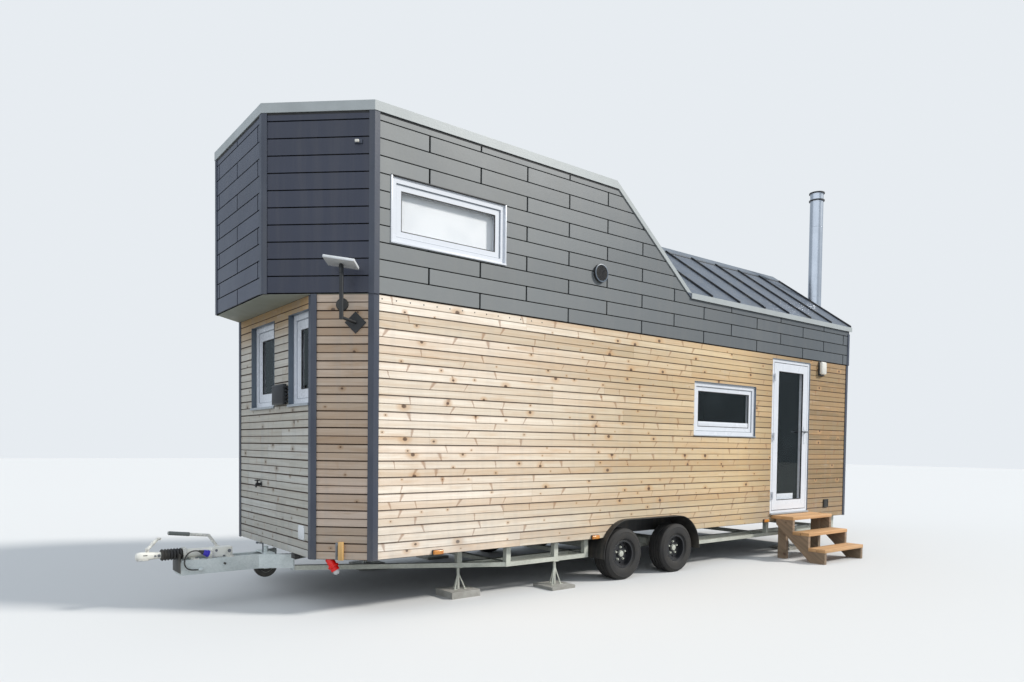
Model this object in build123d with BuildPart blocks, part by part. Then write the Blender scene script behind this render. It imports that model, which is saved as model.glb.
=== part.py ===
from build123d import *
import os
from math import atan2, cos, radians, sin, tan

# Timber clad tiny house on a tandem trailer, with an overhanging loft at the drawbar end.
# Lengths are millimetres. Every piece is placed from the datum of the body: x runs back from the
# near front corner of the long side, y runs across from the centreline, with the door side at
# minus y, and z runs up from the ground. The planes below carry that datum to the middle of the
# whole object's footprint, which is the origin of the model.

os.makedirs("parts", exist_ok=True)

# Body
body_width = 2420
side_length = 7230
wall_thickness = 110
ground_clearance = 440
timber_height = 2067
siding_height = 1386
low_siding_height = 471
siding_step = 10
nose_length = 360
loft_nose_length = 645
loft_front_width = 1208
floor_thickness = 100
loft_floor_thickness = 80
loft_floor_end = 2000

# Roof
loft_roof_end = 2650
slope_foot = 3800
loft_roof_thickness = 75
slope_roof_thickness = 45
roof_overhang = 10
low_roof_thickness = 60
ridge_rise = 890
verge_overhang = 40
seam_height = 26
seam_width = 14
seam_pitch = 515
seam_count = 8
ridge_cap_width = 110
ridge_cap_thickness = 20
eave_trim_height = 60
eave_trim_thickness = 10

# Corner trims
trim_width = 42
timber_trim_thickness = 8
siding_trim_thickness = 6

# Windows: where each starts, how wide it is, its sill above the timber's underside and its height
side_window_to_door = 1510
side_window_width = 1160
side_window_sill = 1050
side_window_height = 595
loft_window_start = 140
loft_window_width = 1120
loft_window_sill = 2485
loft_window_height = 515
front_window_height = 740
front_window_sill = 1225
left_window_centre = 225
left_window_width = 585
right_window_corner_gap = 41.8
right_window_width = 430
window_frame_width = 48
window_sash_width = 50
window_depth = 52
window_sash_step = 12
side_window_recess = 15
loft_window_recess = 10
front_window_recess = 42
glass_thickness = 24

# Door
door_to_rear = 1810
door_width = 850
door_sill = 100
door_height = 1920
door_frame_width = 38
door_frame_depth = 80
door_recess = 4
door_gap = 8
leaf_thickness = 54
leaf_stile = 98
leaf_bottom_rail = 118
hinge_radius = 9
hinge_pin_radius = 5
hinge_height = 95
hinge_knuckle = 30
hinge_flap = 26
hinge_plate = 4
hinge_shares = (0.1, 0.5, 0.9)
hinge_stand_off = 6
lever_height = 1130
lever_length = 135
lever_radius = 9
lever_reach = 48
lever_collar = 17
lever_plate = 5
lever_plate_half = 19
lever_plate_drop = 150
lever_plate_rise = 70
spindle_radius = 8
running_clearance = 0.05
seat_gap = 0.3

# Wheels and axles
tyre_radius = 262
tyre_width = 198
tread_width = 160
tread_round = 14
sidewall_round = 20
bead_width = 144
bead_height = 15
rim_seat_radius = 130
rim_lip_width = 6
rim_lip_height = 12
rim_thickness = 5
rim_disc_place = 22
rim_disc_thickness = 8
rim_holes = 8
rim_hole_radius = 11
rim_hole_circle = 92
front_axle = 2810
axle_spacing = 820
tyre_outer_face = 1238
stub_radius = 20
axle_tube = 60
axle_arm_length = 150
axle_arm_thickness = 25
axle_arm_place = 925
hub_radius = 48
hub_inner_reach = 45
hub_outer_reach = 16
hub_cap_radius = 32
hub_cap_length = 14
stub_end_gap = 1

# Mudguards
guard_start = 2475
guard_end = 3960
guard_top = 178
guard_drop = 200
guard_corner = 355
guard_thickness = 6
guard_outer_face = 1275
guard_inner_face = 965
guard_clearance = 0.3

# Chassis
rail_width = 50
rail_height = 40
rail_drop = 185
outer_rail_place = 1105
inner_rail_place = 870
vee_start = -500
vee_half_gap = 80
vee_end = 1400
riser_width = 50
cross_before_guard = 105
cross_behind_guard = 80
door_cross_to_rear = 1730
rear_cross_to_rear = 150
rail_middle_riser = 1975
stand_plate_place = 1010
drawbar_front = -1125
drawbar_top = 45
drawbar_height = 120
drawbar_web = 40
drawbar_rear = -250
drawbar_plate = 10
end_plate_drop = 14
beam_plate_half = 36

# Coupling and overrun device
tube_height = 440
tube_radius = 25
head_front = -1443
head_rear = -1259
head_width = 78
head_height = 66
head_drop = 33
ball_radius = 26
ball_depth = 34
ball_place = -1402
collar_radius = 52
collar_front = -1097
collar_length = 27
barrel_radius = 37
barrel_rear = -870
gearbox_rear = -710
gearbox_width = 96
gearbox_height = 78
gearbox_foot = 10
bellows_inner = 27
bellows_outer = 48
bellows_fold = 9
bellows_folds = 7
handle_pivot = (-1357, 492)
handle_tip = (-1268, 583)
handle_pin_radius = 6
handle_lug = 13
handle_arm = 6
handle_half_width = 20
handle_bar = 16
handle_eye_radius = 10
brake_pivot = (-800, 462)
brake_elbow = (-872, 568)
brake_tip = (-1188, 606)
brake_place = 62
brake_rod_radius = 10
brake_grip_radius = 15
brake_grip_length = 170
brake_hub_radius = 18
brake_hub_width = 16
brake_pin_radius = 8
plug_radius = 27.7
plug_length = 78
plug_nose = (-884, -80)
plug_tilt = 21
cable_lead_out = 32
cable_radius = 5
gland_radius = 14
gland_length = 35
# the lead's way down outside the near beam and back into a gland on its web
cable_bends = [
    (-1022, -84, 467),
    (-1064, -94, 458),
    (-1096, -106, 428),
    (-1110, -116, 382),
    (-1096, -119, 336),
    (-1056, -113, 313),
    (-1000, -113, 313),
]

# Jockey wheel, clamped up between the beams
jockey_place = -415
jockey_radius = 100
jockey_width = 56
jockey_round = 14
jockey_rim_radius = 58
jockey_rim_depth = 10
jockey_boss_radius = 20
jockey_axle_height = 280
jockey_axle_radius = 8
jockey_side_gap = 4
jockey_top_gap = 6
jockey_fork_thickness = 6
jockey_fork_half = 24
jockey_stem_radius = 24
jockey_stem_rise = 55
jockey_plate_half = 40
jockey_plate_thickness = 10

# Stands and blocks
front_block = (300, 270, 60)
second_block = (285, 285, 30)
rear_stand_to_rear = 880
stand_post_radius = 14
stand_leg_radius = 6
stand_spread = 62
stand_leg_drop = 45
stand_head = 60
stand_head_thickness = 6
stand_foot = 30
stand_foot_thickness = 4

# Steps
step_after_door = 30
step_width = 900
step_rise = 175
step_run = 206
step_landing = 302
step_count = 3
tread_thickness = 40
tread_nose = 6
stringer_thickness = 45
stringer_foot = 180
stringer_rear_depth = 65
step_post_width = 60
step_post_depth = 105
step_post_gap = 67

# Flue, antenna and small fittings
flue_radius = 90
flue_bore_radius = 65
flue_stand_off = 150
flue_side = -617
flue_top = 5055
flue_foot = 1560
flue_wall_entry = 1800
flue_cap_radius = 106
flue_cap_height = 14
flue_cap_gap = 120
flue_bracket_heights = (2150, 3250)
flue_bracket_thickness = 30
antenna_size = 240
antenna_depth = 205
antenna_thickness = 26
antenna_tilt = 30
mast_radius = 16
mast_arm_radius = 12
mast_along = 207
mast_stand_off = 150
mast_foot = 2285
mast_top = 2690
bracket_along = 143
bracket_size = 120
bracket_thickness = 8
lamp_to_rear = 700
lamp_centre_height = 1972
lamp_width = 130
lamp_height = 185
lamp_depth = 65
round_vent_centre = (2416, 2590)
round_vent_radius = 88
round_vent_depth = 22
air_inlet_to_rear = 500
air_inlet_height = 185
air_inlet_size = 105
air_inlet_depth = 12
marker_places = (590, 2405)
marker_before_door = 90
marker_height = 22
marker_length = 105
marker_depth = 30
marker_tall = 44
power_inlet_place = (-235, -935)
power_inlet_radius = 36
power_inlet_length = 135
power_inlet_lean = (0.42, -0.42)

# Worked out from the sizes above
half_width = body_width / 2
timber_base = ground_clearance
timber_top = timber_base + timber_height
loft_top = timber_top + siding_height
door_start = side_length - door_to_rear
side_window_start = door_start - side_window_to_door
eave_height = timber_top + low_siding_height
siding_half_width = half_width + siding_step
chamfer_ratio = (half_width - loft_front_width / 2) / loft_nose_length
nose_half_width = half_width - nose_length * chamfer_ratio
right_window_centre = right_window_width / 2 + right_window_corner_gap - nose_half_width
roof_pitch = ridge_rise / siding_half_width
slope_angle = atan2(loft_top - eave_height, slope_foot - loft_roof_end)
door_base = timber_base + door_sill
door_top = door_base + door_height
door_end = door_start + door_width
rail_base = timber_base - rail_drop
rail_top = rail_base + rail_height
vee_ratio = (outer_rail_place - vee_half_gap) / (vee_end - vee_start)
cross_places = (
    vee_end,
    guard_start - cross_before_guard,
    guard_end + cross_behind_guard,
    side_length - door_cross_to_rear,
    side_length - rear_cross_to_rear,
)
beam_top = timber_base - drawbar_top
beam_base = beam_top - drawbar_height
step_start = door_start + step_after_door
step_reach = step_landing + step_run * (step_count - 1)
flue_x = side_length + flue_stand_off
flue_outside = flue_x + flue_cap_radius
near_reach = half_width + step_reach
axle_places = (front_axle, front_axle + axle_spacing)
sides = (-1, 1)

# The origin: middle of the footprint of the whole object, on the ground
origin_x = -(head_front + flue_outside) / 2
origin_y = (near_reach - guard_outer_face) / 2


def level(height):
    """Horizontal plane at a height, facing up."""
    return Plane(origin=(origin_x, origin_y, height), x_dir=(1, 0, 0), z_dir=(0, 0, 1))


def across(place):
    """Upright plane across the body, facing back: sketch x is the body's y, sketch y is height."""
    return Plane(origin=(origin_x + place, origin_y, 0), x_dir=(0, 1, 0), z_dir=(1, 0, 0))


def along(place):
    """Upright plane along the body, facing the door side: sketch x is the body's x."""
    return Plane(origin=(origin_x, origin_y + place, 0), x_dir=(1, 0, 0), z_dir=(0, -1, 0))


def point(x, y, z):
    """A point of the body's datum in the model's frame."""
    return Vector(origin_x + x, origin_y + y, z)


def inset(outline, distance):
    """Corners of an anticlockwise outline with every side moved inward, mitred."""
    befores = outline[-1:] + outline[:-1]
    afters = outline[1:] + outline[:1]
    corners = []
    for before, corner, after in zip(befores, outline, afters):
        arriving = (Vector(*corner) - Vector(*before)).normalized()
        leaving = (Vector(*after) - Vector(*corner)).normalized()
        inward = Vector(-arriving.Y - leaving.Y, arriving.X + leaving.X)
        moved = Vector(*corner) + inward * (distance / (1 + arriving.dot(leaving)))
        corners.append((moved.X, moved.Y))
    return corners


def wall_plan(outline, number, thickness):
    """Plan of one wall of an outline, mitred to the walls beside it."""
    inner = inset(outline, thickness)
    following = (number + 1) % len(outline)
    return [outline[number], outline[following], inner[following], inner[number]]


def prism(plan, low, high, mode=Mode.ADD):
    """Put an upright prism on a plan outline into the part being built."""
    with BuildSketch(level(low)) as base:
        Polygon(*plan, align=None)
    extrude(base.sketch, amount=high - low, mode=mode)


def block(x, y, z, mode=Mode.ADD):
    """Put a block, given by its (low, high) in x, y and z, into the part being built."""
    with BuildSketch(level(z[0])) as base:
        with Locations(((x[0] + x[1]) / 2, (y[0] + y[1]) / 2)):
            Rectangle(x[1] - x[0], y[1] - y[0])
    extrude(base.sketch, amount=z[1] - z[0], mode=mode)


def side_profile(outline, y, mode=Mode.ADD):
    """Put a shape drawn in side view, between a (low, high) in y, into the part being built."""
    with BuildSketch(along(y[1])) as profile:
        Polygon(*outline, align=None)
    extrude(profile.sketch, amount=y[1] - y[0], mode=mode)


def end_profile(outline, x, mode=Mode.ADD):
    """Put a shape drawn in end view, between a (low, high) in x, into the part being built."""
    with BuildSketch(across(x[0])) as profile:
        Polygon(*outline, align=None)
    extrude(profile.sketch, amount=x[1] - x[0], mode=mode)


def rod(start, end, radius, mode=Mode.ADD):
    """Put a round rod between two points of the datum into the part being built."""
    run = point(*end) - point(*start)
    with BuildSketch(Plane(origin=point(*start), z_dir=run)) as section:
        Circle(radius)
    extrude(section.sketch, amount=run.length, mode=mode)


def bar_plan(spots, width):
    """Plan of a bar along plan points, as wide as given, mitred at its bends."""
    runs = [(Vector(*end) - Vector(*start)).normalized() for start, end in zip(spots, spots[1:])]
    left, right = [], []
    for spot, before, after in zip(spots, runs[:1] + runs, runs + runs[-1:]):
        outward = Vector(-before.Y - after.Y, before.X + after.X)
        reach = outward * (width / 2 / (1 + before.dot(after)))
        left.append(Vector(*spot) + reach)
        right.append(Vector(*spot) - reach)
    return [(corner.X, corner.Y) for corner in right + left[::-1]]


def save(piece, name):
    """Label a finished piece and write it."""
    piece.part.label = name
    export_step(piece.part, f"parts/{name}.step")


# Plan outlines of the timber walls and of the siding above, both anticlockwise from the near corner
timber_outline = [
    (0, -half_width),
    (side_length, -half_width),
    (side_length, half_width),
    (0, half_width),
    (-nose_length, nose_half_width),
    (-nose_length, -nose_half_width),
]
loft_outline = timber_outline[:4] + [
    (-loft_nose_length, loft_front_width / 2),
    (-loft_nose_length, -loft_front_width / 2),
]
siding_outline = inset(loft_outline, -siding_step)
siding_thickness = wall_thickness + siding_step
near_wall, rear_end, far_wall_side, far_chamfer, nose, near_chamfer = range(6)
all_lengths = (-2 * loft_nose_length, 2 * side_length)
all_widths = (-body_width, body_width)


def window_hole(side, start, width, sill, height):
    """Cut a window's hole through a side wall."""
    low = timber_base + sill
    face = side * half_width
    block(
        (start, start + width),
        (face - 2 * wall_thickness, face + 2 * wall_thickness),
        (low, low + height),
        Mode.SUBTRACT,
    )


def guard_arch(plane, growth):
    """Side view of a mudguard's outline, grown all round."""
    with BuildSketch(plane) as arch:
        low = timber_base - guard_drop
        high = timber_base + guard_top + growth
        length = guard_end - guard_start + 2 * growth
        with Locations(((guard_start + guard_end) / 2, (low + high) / 2)):
            Rectangle(length, high - low)
        fillet(arch.vertices().group_by(Axis.Y)[-1], guard_corner + growth)
    return arch.sketch


def cut_guard_notch(side):
    """Cut the notch for the mudguard out of a side wall."""
    face = side * half_width
    notch = guard_arch(along(face + 2 * wall_thickness), guard_clearance)
    extrude(notch, amount=4 * wall_thickness, mode=Mode.SUBTRACT)


# Floor, with a notch on each side for the wheels
with BuildPart() as floor:
    prism(inset(timber_outline, wall_thickness), timber_base, timber_base + floor_thickness)
    for side in sides:
        inner = guard_inner_face - guard_thickness - guard_clearance
        reach = sorted((side * inner, side * half_width))
        notch_ends = (guard_start - guard_clearance, guard_end + guard_clearance)
        block(notch_ends, reach, (0, timber_top), Mode.SUBTRACT)
save(floor, "floor")

# Near side wall in front of the door, with the lower window and the wheel arch
near_plan = wall_plan(timber_outline, near_wall, wall_thickness)
with BuildPart() as near_wall_front:
    prism(near_plan, timber_base, timber_top)
    block((door_start, all_lengths[1]), all_widths, (timber_base, timber_top), Mode.SUBTRACT)
    window_hole(-1, side_window_start, side_window_width, side_window_sill, side_window_height)
    cut_guard_notch(-1)
save(near_wall_front, "near_wall_front")

with BuildPart() as near_wall_rear:
    prism(near_plan, timber_base, timber_top)
    block((all_lengths[0], door_end), all_widths, (timber_base, timber_top), Mode.SUBTRACT)
save(near_wall_rear, "near_wall_rear")

# The strips of wall under the door's frame and over it
with BuildPart() as doorway_panels:
    for low, high in ((timber_base, door_base), (door_top, timber_top)):
        block((door_start, door_end), (-half_width, wall_thickness - half_width), (low, high))
save(doorway_panels, "doorway_panels")

with BuildPart() as far_wall:
    prism(wall_plan(timber_outline, far_wall_side, wall_thickness), timber_base, timber_top)
    cut_guard_notch(1)
save(far_wall, "far_wall")

# Front wall under the overhang, with its two windows
front_windows = (
    (left_window_centre, left_window_width),
    (right_window_centre, right_window_width),
)
front_sill = timber_base + front_window_sill
front_head = front_sill + front_window_height
with BuildPart() as front_wall:
    prism(wall_plan(timber_outline, nose, wall_thickness), timber_base, timber_top)
    for centre, width in front_windows:
        hole_width = (centre - width / 2, centre + width / 2)
        block((all_lengths[0], 0), hole_width, (front_sill, front_head), Mode.SUBTRACT)
save(front_wall, "front_wall")

with BuildPart() as front_chamfer_walls:
    for number in (far_chamfer, near_chamfer):
        prism(wall_plan(timber_outline, number, wall_thickness), timber_base, timber_top)
save(front_chamfer_walls, "front_chamfer_walls")

with BuildPart() as rear_wall:
    prism(wall_plan(timber_outline, rear_end, wall_thickness), timber_base, timber_top)
save(rear_wall, "rear_wall")


def air_over_gable(start):
    """Cut away everything over the underside of the low roof, back from a place."""
    reach = body_width
    ridge = eave_height + ridge_rise
    low = ridge - reach * roof_pitch
    high = ridge + ridge_rise
    outline = [(-reach, low), (0, ridge), (reach, low), (reach, high), (-reach, high)]
    end_profile(outline, (start, all_lengths[1]), Mode.SUBTRACT)


def air_over_slope():
    """Cut away everything over the slanted rear edge of the loft."""
    wall_head = eave_height + 2 * wall_thickness * roof_pitch
    over = loft_top + ridge_rise
    outline = [
        (loft_roof_end, loft_top),
        (slope_foot, eave_height),
        (slope_foot, wall_head),
        (all_lengths[1], wall_head),
        (all_lengths[1], over),
        (loft_roof_end, over),
    ]
    side_profile(outline, all_widths, Mode.SUBTRACT)


def upper_side_wall(number):
    """Put a siding wall of the long side, with its slanted rear edge, into the part."""
    prism(wall_plan(siding_outline, number, siding_thickness), timber_top, loft_top)
    air_over_slope()
    air_over_gable(slope_foot)


def round_hole(centre, radius, face, depth, mode=Mode.SUBTRACT):
    """Cut or add a round shape across a side wall, from a face inward."""
    with BuildSketch(along(face)) as disc:
        with Locations((centre[0], timber_base + centre[1])):
            Circle(radius)
    extrude(disc.sketch, amount=-depth, mode=mode)


# Upper walls of dark siding
with BuildPart() as near_wall_upper:
    upper_side_wall(near_wall)
    window_hole(-1, loft_window_start, loft_window_width, loft_window_sill, loft_window_height)
    round_hole(round_vent_centre, round_vent_radius, -siding_half_width - siding_step, body_width / 4)
save(near_wall_upper, "near_wall_upper")

with BuildPart() as far_wall_upper:
    upper_side_wall(far_wall_side)
save(far_wall_upper, "far_wall_upper")

with BuildPart() as rear_gable:
    prism(wall_plan(siding_outline, rear_end, siding_thickness), timber_top, loft_top)
    air_over_gable(slope_foot)
save(rear_gable, "rear_gable")

with BuildPart() as loft_front_wall:
    prism(wall_plan(siding_outline, nose, siding_thickness), timber_top, loft_top)
save(loft_front_wall, "loft_front_wall")

with BuildPart() as loft_chamfer_walls:
    for number in (far_chamfer, near_chamfer):
        prism(wall_plan(siding_outline, number, siding_thickness), timber_top, loft_top)
save(loft_chamfer_walls, "loft_chamfer_walls")

# Loft floor, whose front is the soffit under the overhang
with BuildPart() as loft_floor:
    loft_plan = inset(siding_outline, siding_thickness)
    prism(loft_plan, timber_top, timber_top + loft_floor_thickness)
    block((loft_floor_end, all_lengths[1]), all_widths, (timber_top, loft_top), Mode.SUBTRACT)
save(loft_floor, "loft_floor")


def corner_trim(outline, number, thickness, low, high):
    """Put an angle trim on an outer corner of an outline into the part being built."""
    skin = inset(outline, -thickness)
    corner = Vector(*outline[number])
    before = Vector(*outline[number - 1])
    after = Vector(*outline[(number + 1) % len(outline)])
    arriving = (corner - before).normalized()
    leaving = (after - corner).normalized()
    outward = [Vector(run.Y, -run.X) * thickness for run in (arriving, leaving)]
    first = corner - arriving * trim_width
    last = corner + leaving * trim_width
    corners = [first, corner, last, last + outward[1], Vector(*skin[number]), first + outward[0]]
    prism([(spot.X, spot.Y) for spot in corners][::-1], low, high)


with BuildPart() as timber_corner_trims:
    for number in range(len(timber_outline)):
        corner_trim(timber_outline, number, timber_trim_thickness, timber_base, timber_top)
save(timber_corner_trims, "timber_corner_trims")

with BuildPart() as siding_corner_trims:
    for number in (0, 3, 4, 5):
        corner_trim(siding_outline, number, siding_trim_thickness, timber_top, loft_top)
    for number in (1, 2):
        corner_trim(siding_outline, number, siding_trim_thickness, timber_top, eave_height - trim_width)
save(siding_corner_trims, "siding_corner_trims")

# Loft roof: the flat part and the slanted rear part are one sheet, cut to the plan of the nose
roof_side = siding_half_width + roof_overhang
roof_rear = side_length + siding_step + verge_overhang
mitre = (slope_roof_thickness - loft_roof_thickness * cos(slope_angle)) / sin(slope_angle)
foot_lift = (slope_roof_thickness * sin(slope_angle), slope_roof_thickness * cos(slope_angle))
loft_roof_outline = [
    (all_lengths[0], loft_top),
    (loft_roof_end, loft_top),
    (slope_foot, eave_height),
    (slope_foot + foot_lift[0], eave_height + foot_lift[1]),
    (loft_roof_end + mitre, loft_top + loft_roof_thickness),
    (all_lengths[0], loft_top + loft_roof_thickness),
]
under_slope = [
    (loft_roof_end, timber_top),
    (loft_roof_end, loft_top),
    (slope_foot, eave_height),
    (slope_foot, timber_top),
]
ridge_underside = eave_height + ridge_rise
ridge_top = ridge_underside + low_roof_thickness
with BuildPart() as loft_roof:
    side_profile(loft_roof_outline, (-roof_side, roof_side))
    with BuildSketch(level(timber_top)) as roof_plan:
        Polygon(*inset(siding_outline, -roof_overhang), align=None)
    extrude(roof_plan.sketch, amount=loft_top, mode=Mode.INTERSECT)
    # the slanted part stops on the low roof
    low_side = ridge_top - body_width * roof_pitch
    gable_body = [(-body_width, low_side), (body_width, low_side), (0, ridge_top)]
    end_profile(gable_body, (loft_roof_end, all_lengths[1]), Mode.SUBTRACT)
save(loft_roof, "loft_roof")

# Low gable roof in two halves, with standing seams that stop at the loft's slanted roof
eave_underside = eave_height - roof_overhang * roof_pitch
eave_top = eave_underside + low_roof_thickness
ridge_cap_drop = ridge_cap_width * roof_pitch
seam_places = [roof_rear - seam_width - number * seam_pitch for number in range(seam_count)]


def low_roof_half(side):
    """Put one half of the low roof, with its seams, into the part being built."""
    for place in seam_places:
        seam = [
            (side * ridge_cap_width, ridge_top - ridge_cap_drop),
            (side * roof_side, eave_top),
            (side * roof_side, eave_top + seam_height),
            (side * ridge_cap_width, ridge_top - ridge_cap_drop + seam_height),
        ]
        end_profile(seam, (place - seam_width / 2, place + seam_width / 2))
    side_profile(loft_roof_outline, all_widths, Mode.SUBTRACT)
    slab = [
        (0, ridge_underside),
        (side * roof_side, eave_underside),
        (side * roof_side, eave_top),
        (0, ridge_top),
    ]
    end_profile(slab, (loft_roof_end, roof_rear))
    side_profile(under_slope, all_widths, Mode.SUBTRACT)


for side, name in zip(sides, ("low_roof_near", "low_roof_far")):
    with BuildPart() as low_roof:
        low_roof_half(side)
    save(low_roof, name)

# Ridge cap: a shallow angle of sheet over the joint of the two halves
with BuildPart() as ridge_cap:
    cap = [
        (-ridge_cap_width, ridge_top - ridge_cap_drop),
        (0, ridge_top),
        (ridge_cap_width, ridge_top - ridge_cap_drop),
        (ridge_cap_width, ridge_top - ridge_cap_drop + ridge_cap_thickness),
        (0, ridge_top + ridge_cap_thickness),
        (-ridge_cap_width, ridge_top - ridge_cap_drop + ridge_cap_thickness),
    ]
    end_profile(cap, (loft_roof_end, roof_rear))
    side_profile(loft_roof_outline, all_widths, Mode.SUBTRACT)
    side_profile(under_slope, all_widths, Mode.SUBTRACT)
save(ridge_cap, "ridge_cap")

# Eave trims: a strip of sheet along the edge of each half
with BuildPart() as eave_trims:
    for side in sides:
        face = sorted((side * roof_side, side * (roof_side + eave_trim_thickness)))
        block((slope_foot, roof_rear), face, (eave_underside, eave_underside + eave_trim_height))
save(eave_trims, "eave_trims")


def window_ring(plane, centre, size, depth, bars):
    """Put a rectangular ring, square to a plane, into the part being built."""
    with BuildSketch(plane) as ring:
        with Locations(centre):
            Rectangle(*size)
            Rectangle(size[0] - 2 * bars, size[1] - 2 * bars, mode=Mode.SUBTRACT)
    extrude(ring.sketch, amount=depth)


def window_unit(plane, centre, size):
    """Put a fixed frame with its closed sash into the part being built; the plane is the frame's back."""
    window_ring(plane, centre, size, window_depth, window_frame_width)
    sash = (size[0] - 2 * window_frame_width, size[1] - 2 * window_frame_width)
    window_ring(plane, centre, sash, window_depth - window_sash_step, window_sash_width)


def pane(plane, centre, size, setback):
    """Put the glass of a window unit into the part being built."""
    margin = 2 * (window_frame_width + window_sash_width)
    with BuildSketch(plane.offset(setback)) as sheet:
        with Locations(centre):
            Rectangle(size[0] - margin, size[1] - margin)
    extrude(sheet.sketch, amount=glass_thickness)


glass_setback = (window_depth - window_sash_step - glass_thickness) / 2
side_window_centre = (
    side_window_start + side_window_width / 2,
    timber_base + side_window_sill + side_window_height / 2,
)
side_window_size = (side_window_width, side_window_height)
side_window_back = -half_width + side_window_recess + window_depth
loft_window_centre = (
    loft_window_start + loft_window_width / 2,
    timber_base + loft_window_sill + loft_window_height / 2,
)
loft_window_size = (loft_window_width, loft_window_height)
loft_window_back = -siding_half_width + loft_window_recess + window_depth
front_window_back = -nose_length + front_window_recess + window_depth

with BuildPart() as side_window:
    window_unit(along(side_window_back), side_window_centre, side_window_size)
save(side_window, "side_window")

with BuildPart() as loft_window:
    window_unit(along(loft_window_back), loft_window_centre, loft_window_size)
save(loft_window, "loft_window")


def facing_front(place):
    """Upright plane across the body, facing the drawbar: sketch x is minus the body's y."""
    return Plane(origin=(origin_x + place, origin_y, 0), x_dir=(0, -1, 0), z_dir=(-1, 0, 0))


front_middle = front_sill + front_window_height / 2
with BuildPart() as front_window_frames:
    for centre, width in front_windows:
        spot = (-centre, front_middle)
        window_unit(facing_front(front_window_back), spot, (width, front_window_height))
save(front_window_frames, "front_window_frames")

with BuildPart() as window_glass:
    pane(along(side_window_back), side_window_centre, side_window_size, glass_setback)
    pane(along(loft_window_back), loft_window_centre, loft_window_size, glass_setback)
    for centre, width in front_windows:
        spot = (-centre, front_middle)
        pane(facing_front(front_window_back), spot, (width, front_window_height), glass_setback)
save(window_glass, "window_glass")

# Door frame: a ring in the doorway, with a pin between two knuckles for each hinge
door_middle = (door_start + door_width / 2, door_base + door_height / 2)
door_face = -half_width + door_recess
leaf_width = door_width - 2 * (door_frame_width + door_gap)
leaf_height = door_height - 2 * (door_frame_width + door_gap)
leaf_start = door_start + door_frame_width + door_gap
leaf_base = door_base + door_frame_width + door_gap
leaf_back = door_face + leaf_thickness
hinge_place = (leaf_start - door_gap / 2, door_face - hinge_stand_off - hinge_radius)
hinge_heights = [leaf_base + share * leaf_height for share in hinge_shares]
with BuildPart() as door_frame:
    plane = along(door_face + door_frame_depth)
    window_ring(plane, door_middle, (door_width, door_height), door_frame_depth, door_frame_width)
    for height in hinge_heights:
        low, high = height - hinge_height / 2, height + hinge_height / 2
        frame_edge = leaf_start - door_gap
        for knuckle in ((low, low + hinge_knuckle), (high - hinge_knuckle, high)):
            rod((*hinge_place, knuckle[0]), (*hinge_place, knuckle[1]), hinge_radius)
            neck = (hinge_place[0] - hinge_radius, hinge_place[0])
            block(neck, (hinge_place[1], door_face), knuckle)
            block((frame_edge - hinge_flap, frame_edge), (door_face - hinge_plate, door_face), knuckle)
        rod((*hinge_place, low), (*hinge_place, high), hinge_pin_radius)
save(door_frame, "door_frame")

# Door leaf, hung on its left edge, with the middle knuckle of each hinge and the lever's plates
glass_size = (leaf_width - 2 * leaf_stile, leaf_height - leaf_stile - leaf_bottom_rail)
glass_middle = (door_middle[0], leaf_base + leaf_bottom_rail + glass_size[1] / 2)
lever_x = leaf_start + leaf_width - leaf_stile / 2
lever_z = timber_base + lever_height
with BuildPart() as door_leaf:
    with BuildSketch(along(leaf_back)) as leaf_sketch:
        with Locations(door_middle):
            Rectangle(leaf_width, leaf_height)
        with Locations(glass_middle):
            Rectangle(*glass_size, mode=Mode.SUBTRACT)
    extrude(leaf_sketch.sketch, amount=leaf_thickness)
    for height in hinge_heights:
        half_knuckle = hinge_height / 2 - hinge_knuckle - seat_gap
        span = (height - half_knuckle, height + half_knuckle)
        rod((*hinge_place, span[0]), (*hinge_place, span[1]), hinge_radius)
        block((hinge_place[0], hinge_place[0] + hinge_radius), (hinge_place[1], door_face), span)
        block((leaf_start, leaf_start + hinge_flap), (door_face - hinge_plate, door_face), span)
        bore = hinge_pin_radius + running_clearance
        rod((*hinge_place, span[0]), (*hinge_place, span[1]), bore, Mode.SUBTRACT)
    plate_span = (lever_z - lever_plate_drop, lever_z + lever_plate_rise)
    for face, reach in ((door_face, -lever_plate), (leaf_back, lever_plate)):
        plate_width = (lever_x - lever_plate_half, lever_x + lever_plate_half)
        block(plate_width, sorted((face, face + reach)), plate_span)
    outer_plate, inner_plate = door_face - lever_plate, leaf_back + lever_plate
    bore = spindle_radius + running_clearance
    rod((lever_x, outer_plate, lever_z), (lever_x, inner_plate, lever_z), bore, Mode.SUBTRACT)
save(door_leaf, "door_leaf")

with BuildPart() as door_glass:
    with BuildSketch(along(door_face + (leaf_thickness + glass_thickness) / 2)) as sheet:
        with Locations(glass_middle):
            Rectangle(*glass_size)
    extrude(sheet.sketch, amount=glass_thickness)
save(door_glass, "door_glass")

# Lever handles outside and inside on one spindle; they point back over the leaf's stile
with BuildPart() as door_lever:
    outer_reach, inner_reach = door_face - lever_reach, leaf_back + lever_reach
    rod((lever_x, outer_reach, lever_z), (lever_x, inner_reach, lever_z), spindle_radius)
    for place, seat, way in ((outer_reach, outer_plate, -1), (inner_reach, inner_plate, 1)):
        rod((lever_x + lever_radius, place, lever_z), (lever_x - lever_length, place, lever_z), lever_radius)
        collar_start = (lever_x, seat + way * seat_gap, lever_z)
        collar_end = (lever_x, seat + way * (seat_gap + lever_radius), lever_z)
        rod(collar_start, collar_end, lever_collar)
save(door_lever, "door_lever")


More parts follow.
